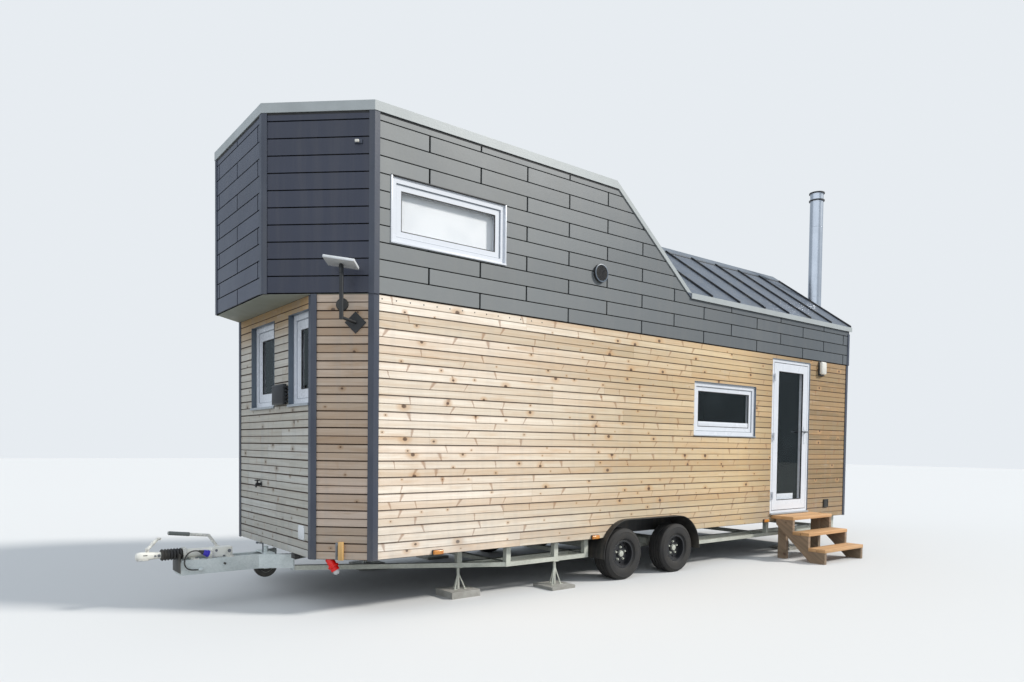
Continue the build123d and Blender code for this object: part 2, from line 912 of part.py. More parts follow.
# Wheels: each is a tyre on a steel rim with a ring of holes in its disc
def tyre_section(middle, place):
    """Cross-section of a tyre over the wheel's axis."""
    belly = (tyre_radius + rim_seat_radius + bead_height) / 2
    half = [
        (bead_width / 2, rim_seat_radius),
        (bead_width / 2, rim_seat_radius + bead_height),
        (tyre_width / 2, belly),
        (tread_width / 2, tyre_radius),
    ]
    outline = half + [(-reach, radius) for reach, radius in half[::-1]]
    with BuildSketch(across(place)) as section:
        Polygon(*[(middle + reach, tyre_radius + radius) for reach, radius in outline], align=None)
        levels = section.vertices().group_by(Axis.Y)
        fillet(levels[-2], sidewall_round)
        fillet(section.vertices().group_by(Axis.Y)[-1], tread_round)
    return section.sketch


def rim_section(middle, place, side):
    """Cross-section of a rim: barrel, two lips, disc, hub and hub cap."""
    seat = rim_seat_radius - seat_gap
    lip_inner = bead_width / 2 + seat_gap
    lip_outer = lip_inner + rim_lip_width
    bore = stub_radius + running_clearance
    hub = (rim_disc_place - hub_inner_reach, rim_disc_place + hub_outer_reach)
    rings = [
        ((-lip_outer, lip_outer), (seat - rim_thickness, seat)),
        ((-lip_outer, -lip_inner), (seat - rim_thickness, seat + rim_lip_height)),
        ((lip_inner, lip_outer), (seat - rim_thickness, seat + rim_lip_height)),
        ((rim_disc_place, rim_disc_place + rim_disc_thickness), (bore, seat)),
        (hub, (bore, hub_radius)),
        ((hub[1], hub[1] + hub_cap_length), (0, hub_cap_radius)),
    ]
    with BuildSketch(across(place)) as section:
        for (inner, outer), (low, high) in rings:
            with Locations((middle + side * (inner + outer) / 2, tyre_radius + (low + high) / 2)):
                Rectangle(outer - inner, high - low)
    return section.sketch


for side, side_name in zip(sides, ("near", "far")):
    for place, axle_name in zip(axle_places, ("front", "rear")):
        axis = Axis(point(place, 0, tyre_radius), (0, 1, 0))
        middle = side * (tyre_outer_face - tyre_width / 2)
        with BuildPart() as tyre:
            revolve(tyre_section(middle, place), axis=axis)
        save(tyre, f"tyre_{side_name}_{axle_name}")
        with BuildPart() as rim:
            revolve(rim_section(middle, place, side), axis=axis)
            with BuildSketch(along(middle + side * rim_disc_place)) as holes:
                with Locations((place, tyre_radius)):
                    with PolarLocations(rim_hole_circle, rim_holes):
                        Circle(rim_hole_radius)
            extrude(holes.sketch, amount=2 * rim_disc_thickness, both=True, mode=Mode.SUBTRACT)
        save(rim, f"rim_{side_name}_{axle_name}")

# Axles: a square tube on top of the rails, an arm down to the stub at each end
stub_end = tyre_outer_face - tyre_width / 2 + rim_disc_place + hub_outer_reach - stub_end_gap
with BuildPart() as axles:
    for place in axle_places:
        tube_place = place - axle_arm_length
        tube_reach = axle_arm_place + axle_arm_thickness
        tube_side = (tube_place - axle_tube / 2, tube_place + axle_tube / 2)
        block(tube_side, (-tube_reach, tube_reach), (rail_top, rail_top + axle_tube))
        for side in sides:
            arm_faces = sorted((side * axle_arm_place, side * tube_reach))
            tube_middle = rail_top + axle_tube / 2
            arm = [
                (tube_place - axle_tube / 2, tube_middle + axle_tube / 2),
                (tube_place + axle_tube / 2, tube_middle + axle_tube / 2),
                (place + 2 * stub_radius, tyre_radius + stub_radius),
                (place + 2 * stub_radius, tyre_radius - 2 * stub_radius),
                (place - 2 * stub_radius, tyre_radius - 2 * stub_radius),
                (tube_place - axle_tube / 2, tube_middle - axle_tube / 2),
            ]
            side_profile(arm, arm_faces)
            stub_start = (place, side * axle_arm_place, tyre_radius)
            rod(stub_start, (place, side * stub_end, tyre_radius), stub_radius)
save(axles, "axles")

# Tandem mudguards: a bent sheet over both wheels, closed on its inner side over the floor
with BuildPart() as mudguards:
    for side in sides:
        outer = side * guard_outer_face
        inner = side * (guard_inner_face - guard_thickness)
        start = max(outer, inner)
        depth = abs(outer - inner)
        skin = guard_arch(along(start), 0)
        hollow = guard_arch(along(start), -guard_thickness)
        extrude(skin, amount=depth)
        extrude(hollow, amount=depth, mode=Mode.SUBTRACT)
        plate = guard_arch(along(max(side * guard_inner_face, inner)), -guard_thickness)
        extrude(plate, amount=guard_thickness)
        inner_faces = sorted((inner, side * guard_inner_face))
        block((guard_start, guard_end), inner_faces, (0, timber_base), Mode.SUBTRACT)
save(mudguards, "mudguards")


# Chassis frame: vee at the front, outer and inner rails, cross members and risers to the floor
def vee_place(x):
    """Distance of the vee's bars from the centreline at a place along the body."""
    return vee_half_gap + vee_ratio * (x - vee_start)


with BuildPart() as chassis_frame:
    rails = (rail_base, rail_top)
    half_rail = rail_width / 2
    for side in sides:
        vee_front = drawbar_rear - rail_width
        vee_spots = [(vee_front, side * vee_place(vee_front)), (vee_end, side * outer_rail_place)]
        prism(bar_plan(vee_spots, rail_width), *rails)
        for start, end in ((vee_end - half_rail, cross_places[1]), (cross_places[2], cross_places[-1])):
            place = side * outer_rail_place
            block((start, end), (place - half_rail, place + half_rail), rails)
        place = side * inner_rail_place
        block((stand_plate_place, cross_places[-1]), (place - half_rail, place + half_rail), rails)
    block((all_lengths[0], drawbar_rear), all_widths, rails, Mode.SUBTRACT)
    for place in cross_places:
        reach = outer_rail_place + half_rail
        block((place - half_rail, place + half_rail), (-reach, reach), rails)
    half_riser = riser_width / 2
    riser_spots = [(stand_plate_place, vee_place(stand_plate_place)), (rail_middle_riser, outer_rail_place)]
    riser_spots += [(place, outer_rail_place) for place in cross_places]
    for x, y in riser_spots:
        for side in sides:
            middle = side * y
            riser_depth = (middle - half_riser, middle + half_riser)
            block((x - half_riser, x + half_riser), riser_depth, (rail_top, timber_base))
save(chassis_frame, "chassis_frame")

# Drawbar: two beams side by side, spreading to the vee, with an end plate at each end
with BuildPart() as drawbar:
    heights = (beam_base, beam_top)
    beam_rear = drawbar_rear - drawbar_plate
    for side in sides:
        spots = [(x, side * vee_place(max(x, vee_start))) for x in (drawbar_front, vee_start, drawbar_rear)]
        prism(bar_plan(spots, drawbar_web), *heights)
    block((beam_rear, 0), all_widths, heights, Mode.SUBTRACT)
    for side in sides:
        plate_middle = side * vee_place(drawbar_rear)
        plate_faces = (plate_middle - beam_plate_half, plate_middle + beam_plate_half)
        block((beam_rear, drawbar_rear), plate_faces, (rail_base, beam_top))
    front_reach = vee_half_gap + drawbar_web / 2
    front_plate = (drawbar_front - drawbar_plate, drawbar_front)
    block(front_plate, (-front_reach, front_reach), (beam_base, beam_top - end_plate_drop))
    gland_start = cable_bends[-1]
    gland_end = (gland_start[0] + gland_length, gland_start[1], gland_start[2])
    rod(gland_start, gland_end, gland_radius)
    # fork, stem and clamping plate of the jockey wheel
    fork_inner = jockey_width / 2 + jockey_side_gap
    fork_outer = fork_inner + jockey_fork_thickness
    fork_width = (jockey_place - jockey_fork_half, jockey_place + jockey_fork_half)
    crown = jockey_axle_height + jockey_radius + jockey_top_gap
    for side in sides:
        faces = sorted((side * fork_inner, side * fork_outer))
        block(fork_width, faces, (jockey_axle_height - jockey_fork_half, crown))
    block(fork_width, (-fork_outer, fork_outer), (crown, beam_top))
    axle_ends = [(jockey_place, side * fork_outer, jockey_axle_height) for side in sides]
    rod(*axle_ends, jockey_axle_radius)
    plate_top = beam_top + jockey_plate_thickness
    plate_width = (jockey_place - jockey_plate_half, jockey_place + jockey_plate_half)
    plate_reach = vee_place(jockey_place)
    block(plate_width, (-plate_reach, plate_reach), (beam_top, plate_top))
    rod((jockey_place, 0, beam_top), (jockey_place, 0, beam_top + jockey_stem_rise), jockey_stem_radius)
save(drawbar, "drawbar")

# Jockey wheel: a rubber tread with a rim recess and a boss on each face
with BuildPart() as jockey_wheel:
    half_wheel = jockey_width / 2
    wheel_ends = [(jockey_place, side * half_wheel, jockey_axle_height) for side in sides]
    rod(*wheel_ends, jockey_radius)
    fillet(jockey_wheel.edges().filter_by(GeomType.CIRCLE), jockey_round)
    for side in sides:
        face = (jockey_place, side * half_wheel, jockey_axle_height)
        recess = (jockey_place, side * (half_wheel - jockey_rim_depth), jockey_axle_height)
        rod(face, recess, jockey_rim_radius, Mode.SUBTRACT)
    boss_reach = half_wheel + jockey_side_gap / 2
    boss_ends = [(jockey_place, side * boss_reach, jockey_axle_height) for side in sides]
    rod(*boss_ends, jockey_boss_radius)
    rod(*boss_ends, jockey_axle_radius + running_clearance, Mode.SUBTRACT)
save(jockey_wheel, "jockey_wheel")

# Overrun housing: collar, barrel and gear box on two feet across the beams
foot_top = beam_top + gearbox_foot
with BuildPart() as overrun_housing:
    rod((collar_front, 0, tube_height), (collar_front + collar_length, 0, tube_height), collar_radius)
    rod((collar_front, 0, tube_height), (barrel_rear, 0, tube_height), barrel_radius)
    half_box = gearbox_width / 2
    block((barrel_rear - 2, gearbox_rear), (-half_box, half_box), (beam_top, beam_top + gearbox_height))
    for start in (collar_front + 2 * collar_length, gearbox_rear - 2 * collar_length):
        foot_reach = vee_half_gap + drawbar_web / 2
        block((start, start + 2 * collar_length), (-foot_reach, foot_reach), (beam_top, foot_top))
    block(all_lengths, all_widths, (0, beam_top), Mode.SUBTRACT)
    lever_pin = (brake_pivot[0], half_box - 2, brake_pivot[1])
    pin_end = brake_place + brake_hub_width
    rod(lever_pin, (brake_pivot[0], pin_end, brake_pivot[1]), brake_pin_radius)
save(overrun_housing, "overrun_housing")

# Draw tube with the ball coupling on its front
with BuildPart() as draw_tube:
    rod((collar_front, 0, tube_height), (head_rear - 20, 0, tube_height), tube_radius)
    half_head = head_width / 2
    head_low = tube_height - head_drop
    with BuildSketch(level(head_low)) as head_plan:
        with Locations(((head_front + half_head + head_rear) / 2, 0)):
            Rectangle(head_rear - head_front - half_head, head_width)
        with Locations((head_front + half_head, 0)):
            Circle(half_head)
    extrude(head_plan.sketch, amount=head_height)
    fillet(draw_tube.edges().group_by(Axis.Z)[-1], head_height / 6)
    head_top = head_low + head_height
    lug = (handle_pivot[0] - handle_lug, handle_pivot[0] + handle_lug)
    block(lug, (-handle_lug, handle_lug), (head_top - handle_lug, handle_pivot[1] + handle_lug))
    pin_reach = handle_lug + handle_arm + 2 * seat_gap
    pin_ends = [(handle_pivot[0], side * pin_reach, handle_pivot[1]) for side in sides]
    rod(*pin_ends, handle_pin_radius)
    ball_top = (ball_place, 0, head_low + ball_depth)
    rod((ball_place, 0, 0), ball_top, ball_radius, Mode.SUBTRACT)
    with Locations(point(*ball_top)):
        Sphere(ball_radius, mode=Mode.SUBTRACT)
save(draw_tube, "draw_tube")

# Bellows: a pleated rubber sleeve on the draw tube
with BuildPart() as bellows:
    span = collar_front - head_rear
    pleat = span / bellows_folds
    outline = [(head_rear, tube_height + bellows_inner)]
    for number in range(bellows_folds):
        start = head_rear + number * pleat
        outline.append((start, tube_height + bellows_outer - bellows_fold))
        outline.append((start + pleat / 2, tube_height + bellows_outer))
    outline.append((collar_front, tube_height + bellows_outer - bellows_fold))
    outline.append((collar_front, tube_height + bellows_inner))
    with BuildSketch(along(0)) as section:
        Polygon(*outline, align=None)
    revolve(section.sketch, axis=Axis(point(0, 0, tube_height), (1, 0, 0)))
save(bellows, "bellows")

# Coupling handle: two arms on the lug's pin, joined by a curved grip
with BuildPart() as coupling_handle:
    run = Vector(*handle_tip) - Vector(*handle_pivot)
    arm_faces = (handle_lug + seat_gap, handle_lug + seat_gap + handle_arm)
    arm_plan = bar_plan([handle_pivot, handle_tip], handle_bar)
    for side in sides:
        faces = sorted(side * face for face in arm_faces)
        side_profile(arm_plan, faces)
        eye_ends = [(handle_pivot[0], face, handle_pivot[1]) for face in faces]
        rod(*eye_ends, handle_eye_radius)
    grip_start = Vector(*handle_pivot) + run * 0.55
    grip = bar_plan([(grip_start.X, grip_start.Y), handle_tip], handle_bar)
    side_profile(grip, (-handle_half_width, handle_half_width))
    bore_ends = [(handle_pivot[0], side * 2 * handle_half_width, handle_pivot[1]) for side in sides]
    rod(*bore_ends, handle_pin_radius + running_clearance, Mode.SUBTRACT)
save(coupling_handle, "coupling_handle")

# Handbrake lever beside the gear box: hub on its pin, bent rod and grip
with BuildPart() as handbrake_lever:
    hub_ends = [
        (brake_pivot[0], gearbox_width / 2 + seat_gap, brake_pivot[1]),
        (brake_pivot[0], brake_place + brake_hub_width, brake_pivot[1]),
    ]
    rod(*hub_ends, brake_hub_radius)
    spots = [(x, brake_place, z) for x, z in (brake_pivot, brake_elbow, brake_tip)]
    rod(spots[0], spots[1], brake_rod_radius)
    rod(spots[1], spots[2], brake_rod_radius)
    with Locations(point(*spots[1])):
        Sphere(brake_rod_radius)
    tip_run = (point(*spots[1]) - point(*spots[2])).normalized()
    grip_end = Vector(*spots[2]) + tip_run * brake_grip_length
    rod(spots[2], (grip_end.X, grip_end.Y, grip_end.Z), brake_grip_radius)
    rod(*hub_ends, brake_pin_radius + running_clearance, Mode.SUBTRACT)
save(handbrake_lever, "handbrake_lever")

# Trailer plug parked on the near beam, with its lead looping to the front of the drawbar
plug_lean = radians(plug_tilt)
plug_low = beam_top + seat_gap + plug_radius * cos(plug_lean)
plug_high = plug_low + plug_length * sin(plug_lean)
plug_start = (plug_nose[0] - plug_length * cos(plug_lean), plug_nose[1], plug_high)
with BuildPart() as trailer_plug:
    rod(plug_start, (*plug_nose, plug_low), plug_radius)
save(trailer_plug, "trailer_plug")


def cable_radii(route):
    """Largest tangent arcs for the corners of a route, each from its two runs and its turn."""
    spots = [Vector(*spot) for spot in route]
    radii = []
    for before, corner, after in zip(spots, spots[1:], spots[2:]):
        arriving, leaving = corner - before, after - corner
        turn = radians(arriving.get_angle(leaving))
        radii.append(0.45 * min(arriving.length, leaving.length) / tan(turn / 2))
    return radii


lead_out = (-cable_lead_out * cos(plug_lean), 0, cable_lead_out * sin(plug_lean))
first_bend = tuple(start + run for start, run in zip(plug_start, lead_out))
cable_route = [plug_start, first_bend] + cable_bends
with BuildPart() as trailer_cable:
    with BuildLine() as route:
        FilletPolyline(*[point(*spot) for spot in cable_route], radius=cable_radii(cable_route))
    start_run = Vector(*cable_route[1]) - Vector(*cable_route[0])
    with BuildSketch(Plane(origin=point(*cable_route[0]), z_dir=start_run)) as section:
        Circle(cable_radius)
    sweep(section.sketch, path=route.wires()[0])
save(trailer_cable, "trailer_cable")
print("cable bends", [round(radius) for radius in cable_radii(cable_route)])

# Concrete blocks and the stands on them
block_spots = (
    (stand_plate_place, vee_place(stand_plate_place), front_block),
    (rail_middle_riser, outer_rail_place, second_block),
    (side_length - rear_stand_to_rear, inner_rail_place, second_block),
)
with BuildPart() as concrete_blocks:
    for x, y, size in block_spots:
        for side in sides:
            block(
                (x - size[0] / 2, x + size[0] / 2),
                (side * y - size[1] / 2, side * y + size[1] / 2),
                (0, size[2]),
            )
save(concrete_blocks, "concrete_blocks")

with BuildPart() as jack_stands:
    for x, y, size in block_spots:
        for side in sides:
            middle = side * y
            foot = size[2]
            head = rail_base
            half_head = stand_head / 2
            head_faces = (middle - half_head, middle + half_head)
            block((x - half_head, x + half_head), head_faces, (head - stand_head_thickness, head))
            rod((x, middle, foot), (x, middle, head - stand_head_thickness), stand_post_radius)
            for turn in (90, 210, 330):
                reach_x = x + stand_spread * cos(radians(turn))
                reach_y = middle + stand_spread * sin(radians(turn))
                low = foot + stand_foot_thickness / 2
                rod((reach_x, reach_y, low), (x, middle, head - stand_leg_drop), stand_leg_radius)
                half_foot = stand_foot / 2
                foot_faces = (reach_y - half_foot, reach_y + half_foot)
                foot_heights = (foot, foot + stand_foot_thickness)
                block((reach_x - half_foot, reach_x + half_foot), foot_faces, foot_heights)
            block((x - size[0], x + size[0]), (middle - size[1], middle + size[1]), (0, foot), Mode.SUBTRACT)
save(jack_stands, "jack_stands")

# Steps: three treads on two cut stringers, with a post inside the rear of each
tread_tops = [step_rise * (step_count - number) for number in range(step_count)]
tread_fronts = [-half_width - step_landing - step_run * number for number in range(step_count)]
riser_faces = [front + tread_nose for front in tread_fronts]
tread_rears = [-half_width - seat_gap] + riser_faces[:-1]
step_span = (step_start, step_start + step_width)
with BuildPart() as step_treads:
    for top, front, rear in zip(tread_tops, tread_fronts, tread_rears):
        block(step_span, (front, rear), (top - tread_thickness, top))
save(step_treads, "step_treads")

with BuildPart() as step_frame:
    post_rear = -half_width - timber_trim_thickness - step_post_gap
    seats = [top - tread_thickness for top in tread_tops]
    stringer = [(post_rear, seats[0])]
    for face, seat in zip(riser_faces, seats):
        stringer += [(stringer[-1][0], seat), (face, seat)]
    stringer = stringer[1:] + [(riser_faces[-1], 0), (riser_faces[-1] + stringer_foot, 0)]
    stringer.append((post_rear, seats[0] - stringer_rear_depth))
    for edge, way in ((step_span[0], 1), (step_span[1], -1)):
        inner = edge + way * stringer_thickness
        end_profile(stringer, sorted((edge, inner)))
        post_width = sorted((inner, inner + way * step_post_width))
        block(post_width, (post_rear - step_post_depth, post_rear), (0, seats[0]))
save(step_frame, "step_frame")

# Flue outside the rear wall: an insulated pipe with a branch into the wall and two brackets
flue_y = flue_side
with BuildPart() as flue:
    rod((flue_x, flue_y, flue_foot), (flue_x, flue_y, flue_top - flue_cap_height), flue_radius)
    for low in (flue_top - flue_cap_height, flue_top - flue_cap_gap):
        rod((flue_x, flue_y, low), (flue_x, flue_y, low + flue_cap_height), flue_cap_radius)
    rod((side_length, flue_y, flue_wall_entry), (flue_x, flue_y, flue_wall_entry), flue_radius)
    for height in flue_bracket_heights:
        face = side_length if height < timber_top else side_length + siding_step
        bracket_width = (flue_y - flue_radius / 2, flue_y + flue_radius / 2)
        block((face, flue_x), bracket_width, (height, height + flue_bracket_thickness))
    bore_foot = flue_foot + flue_radius - flue_bore_radius
    rod((flue_x, flue_y, bore_foot), (flue_x, flue_y, 2 * flue_top), flue_bore_radius, Mode.SUBTRACT)
save(flue, "flue")

# Antenna on its mast, beside the near front corner
chamfer_run = (Vector(*timber_outline[5]) - Vector(*timber_outline[0])).normalized()
chamfer_out = Vector(chamfer_run.Y, -chamfer_run.X) * -1


def chamfer_spot(distance, stand_off):
    """Plan point beside the near slanted front wall, so far from the corner and off the wall."""
    spot = Vector(*timber_outline[0]) + chamfer_run * distance + chamfer_out * stand_off
    return spot.X, spot.Y


mast_spot = chamfer_spot(mast_along, mast_stand_off)
bracket_spot = chamfer_spot(bracket_along, 0)
with BuildPart() as antenna_mast:
    rod((*mast_spot, mast_foot), (*mast_spot, mast_top), mast_radius)
    plate_plane = Plane(origin=point(*bracket_spot, mast_foot), z_dir=chamfer_out)
    with BuildSketch(plate_plane) as plate:
        Rectangle(bracket_size, bracket_size, rotation=45)
    extrude(plate.sketch, amount=bracket_thickness)
    arm_start = (*chamfer_spot(bracket_along, bracket_thickness), mast_foot)
    rod(arm_start, (*mast_spot, mast_foot + mast_radius), mast_arm_radius)
save(antenna_mast, "antenna_mast")

with BuildPart() as antenna_panel:
    tilt = radians(antenna_tilt)
    facing = Vector(chamfer_out.X * sin(tilt), chamfer_out.Y * sin(tilt), cos(tilt))
    panel_base = point(*mast_spot, mast_top) + facing * (mast_radius * sin(tilt) + seat_gap)
    with BuildSketch(Plane(origin=panel_base, x_dir=chamfer_run, z_dir=facing)) as plate:
        RectangleRounded(antenna_size, antenna_depth, antenna_depth / 8)
    extrude(plate.sketch, amount=antenna_thickness)
save(antenna_panel, "antenna_panel")

# Bulkhead lamp beside the door
with BuildPart() as door_lamp:
    with BuildSketch(along(-half_width)) as base:
        with Locations((side_length - lamp_to_rear, timber_base + lamp_centre_height)):
            RectangleRounded(lamp_width, lamp_height, lamp_height / 4)
    extrude(base.sketch, amount=lamp_depth)
    fillet(door_lamp.faces().sort_by(Axis.Y)[0].edges(), lamp_depth / 4)
save(door_lamp, "door_lamp")

# Round vent in the siding and square air inlet in the timber
with BuildPart() as wall_vents:
    vent_face = -siding_half_width - round_vent_depth
    vent_depth = round_vent_depth + siding_step
    round_hole(round_vent_centre, round_vent_radius - seat_gap, vent_face, vent_depth, Mode.ADD)
    inlet_x, inlet_z = side_length - air_inlet_to_rear, air_inlet_height
    half_inlet = air_inlet_size / 2
    block(
        (inlet_x - half_inlet, inlet_x + half_inlet),
        (-half_width - air_inlet_depth, -half_width),
        (timber_base + inlet_z - half_inlet, timber_base + inlet_z + half_inlet),
    )
save(wall_vents, "wall_vents")

# Orange marker lights along both long sides
with BuildPart() as marker_lights:
    for side in sides:
        for place in (*marker_places, door_start - marker_before_door):
            face = side * half_width
            faces = sorted((face, face + side * marker_depth))
            low = timber_base + marker_height - marker_tall / 2
            block((place - marker_length / 2, place + marker_length / 2), faces, (low, low + marker_tall))
save(marker_lights, "marker_lights")

# Power inlet under the near slanted wall, leaning out to the near side and the rear
with BuildPart() as power_inlet:
    inlet_x, inlet_y = power_inlet_place
    lean_x, lean_y = power_inlet_lean
    inlet_ends = []
    for drop in (-power_inlet_radius, power_inlet_length):
        inlet_ends.append((inlet_x + lean_x * drop, inlet_y + lean_y * drop, timber_base - drop))
    rod(*inlet_ends, power_inlet_radius)
    block(all_lengths, all_widths, (timber_base, timber_top), Mode.SUBTRACT)
save(power_inlet, "power_inlet")

print("origin offset", origin_x, origin_y)
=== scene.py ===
import logging
import math
import random
from dataclasses import KW_ONLY, dataclass, field
from enum import Enum
from functools import cached_property
from typing import Iterable, Sequence

import bmesh
import bpy
from bpy.types import ID, Material, Node, NodeSocket, NodeTree, Object
from mathutils import Matrix, Vector


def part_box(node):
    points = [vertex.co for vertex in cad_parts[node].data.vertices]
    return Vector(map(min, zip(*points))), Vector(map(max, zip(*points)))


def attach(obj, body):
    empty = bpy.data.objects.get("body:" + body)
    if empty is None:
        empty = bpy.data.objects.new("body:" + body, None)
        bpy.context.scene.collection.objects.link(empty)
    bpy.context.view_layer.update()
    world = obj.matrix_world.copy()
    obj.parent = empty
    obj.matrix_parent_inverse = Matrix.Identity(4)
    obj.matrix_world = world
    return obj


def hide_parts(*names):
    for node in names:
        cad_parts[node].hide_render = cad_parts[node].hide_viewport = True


# A timber clad tiny house on a tandem trailer. Places are given in millimetres from the datum of
# the body: x runs back from the near front corner, y across from the centreline with the door at
# minus y, and z up from the ground. at() carries them to the shared frame in metres.

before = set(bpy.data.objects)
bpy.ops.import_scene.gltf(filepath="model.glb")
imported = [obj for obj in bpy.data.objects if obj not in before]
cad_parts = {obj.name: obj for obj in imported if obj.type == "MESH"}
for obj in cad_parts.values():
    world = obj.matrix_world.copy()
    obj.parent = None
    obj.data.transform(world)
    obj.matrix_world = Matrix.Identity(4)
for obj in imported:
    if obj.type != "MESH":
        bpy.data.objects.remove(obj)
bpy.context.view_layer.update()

LOG = logging.getLogger("tiny_house")
DATUM = Vector((-3.0215, 0.3245, 0.0))
Colour = tuple[float, float, float] | str
Spot = Sequence[float]
Span = tuple[float, float]
Cut = tuple[list[Vector], Vector]
PALETTE: dict[str, Material] = {}


def at(x: float, y: float, z: float) -> Vector:
    """A place of the body's datum, in millimetres, carried to the shared frame in metres."""
    return DATUM + Vector((x, y, z)) / 1000


def back(place: Vector) -> Vector:
    """A place of the shared frame carried back to millimetres of the body's datum."""
    return (place - DATUM) * 1000


def linear(colour: Colour) -> tuple[float, float, float]:
    """A linear colour, also from a six figure sRGB hex code.

    Args:
        colour: a linear colour, or the six figures of an sRGB one.

    Returns:
        Its linear channels.
    """
    if not isinstance(colour, str):
        return colour
    parts = [int(colour[start : start + 2], 16) / 255 for start in (0, 2, 4)]
    return tuple(part / 12.92 if part <= 0.04045 else ((part + 0.055) / 1.055) ** 2.4 for part in parts)


def placed(name: str, data: ID | None) -> Object:
    """A new object in the scene that carries some data.

    Args:
        name: its name.
        data: its mesh, curve, light or camera.

    Returns:
        The object.
    """
    thing = bpy.data.objects.new(name, data)
    bpy.context.scene.collection.objects.link(thing)
    return thing


@dataclass(frozen=True)
class Value:
    """A result in a node tree that plain operators work on."""

    tree: "Tree"
    socket: NodeSocket

    def __add__(self, other: object) -> "Value":
        """The sum."""
        return self.tree.math("ADD", self, other)

    def __sub__(self, other: object) -> "Value":
        """The difference."""
        return self.tree.math("SUBTRACT", self, other)

    def __mul__(self, other: object) -> "Value":
        """The product."""
        return self.tree.math("MULTIPLY", self, other)

    def __truediv__(self, other: object) -> "Value":
        """The quotient."""
        return self.tree.math("DIVIDE", self, other)

    def __pow__(self, other: object) -> "Value":
        """The power."""
        return self.tree.math("POWER", self, other)

    def __lt__(self, other: object) -> "Value":
        """1 where it is less, else 0."""
        return self.tree.math("LESS_THAN", self, other)

    def __gt__(self, other: object) -> "Value":
        """1 where it is greater, else 0."""
        return self.tree.math("GREATER_THAN", self, other)

    def floor(self) -> "Value":
        """The whole number under it."""
        return self.tree.math("FLOOR", self)

    def mad(self, factor: object, more: object, clamp: bool = False) -> "Value":
        """The value times a factor, plus more, and kept between 0 and 1 if asked."""
        return self.tree.math("MULTIPLY_ADD", self, factor, more, clamp=clamp)

    def step(self, low: object, high: object, start: float = 0.0, end: float = 1.0) -> "Value":
        """Turn a range of the value into a smooth step.

        Args:
            low: where the step starts.
            high: where it ends.
            start: the result below the step.
            end: the result above the step.

        Returns:
            The step.
        """
        inputs = {"Value": self, "From Min": low, "From Max": high, "To Min": start, "To Max": end}
        return self.tree.get("MapRange", 0, inputs, interpolation_type="SMOOTHSTEP")

    def parts(self) -> list["Value"]:
        """The three numbers of a vector."""
        return [Value(self.tree, part) for part in self.tree.add("SeparateXYZ", {0: self}).outputs]


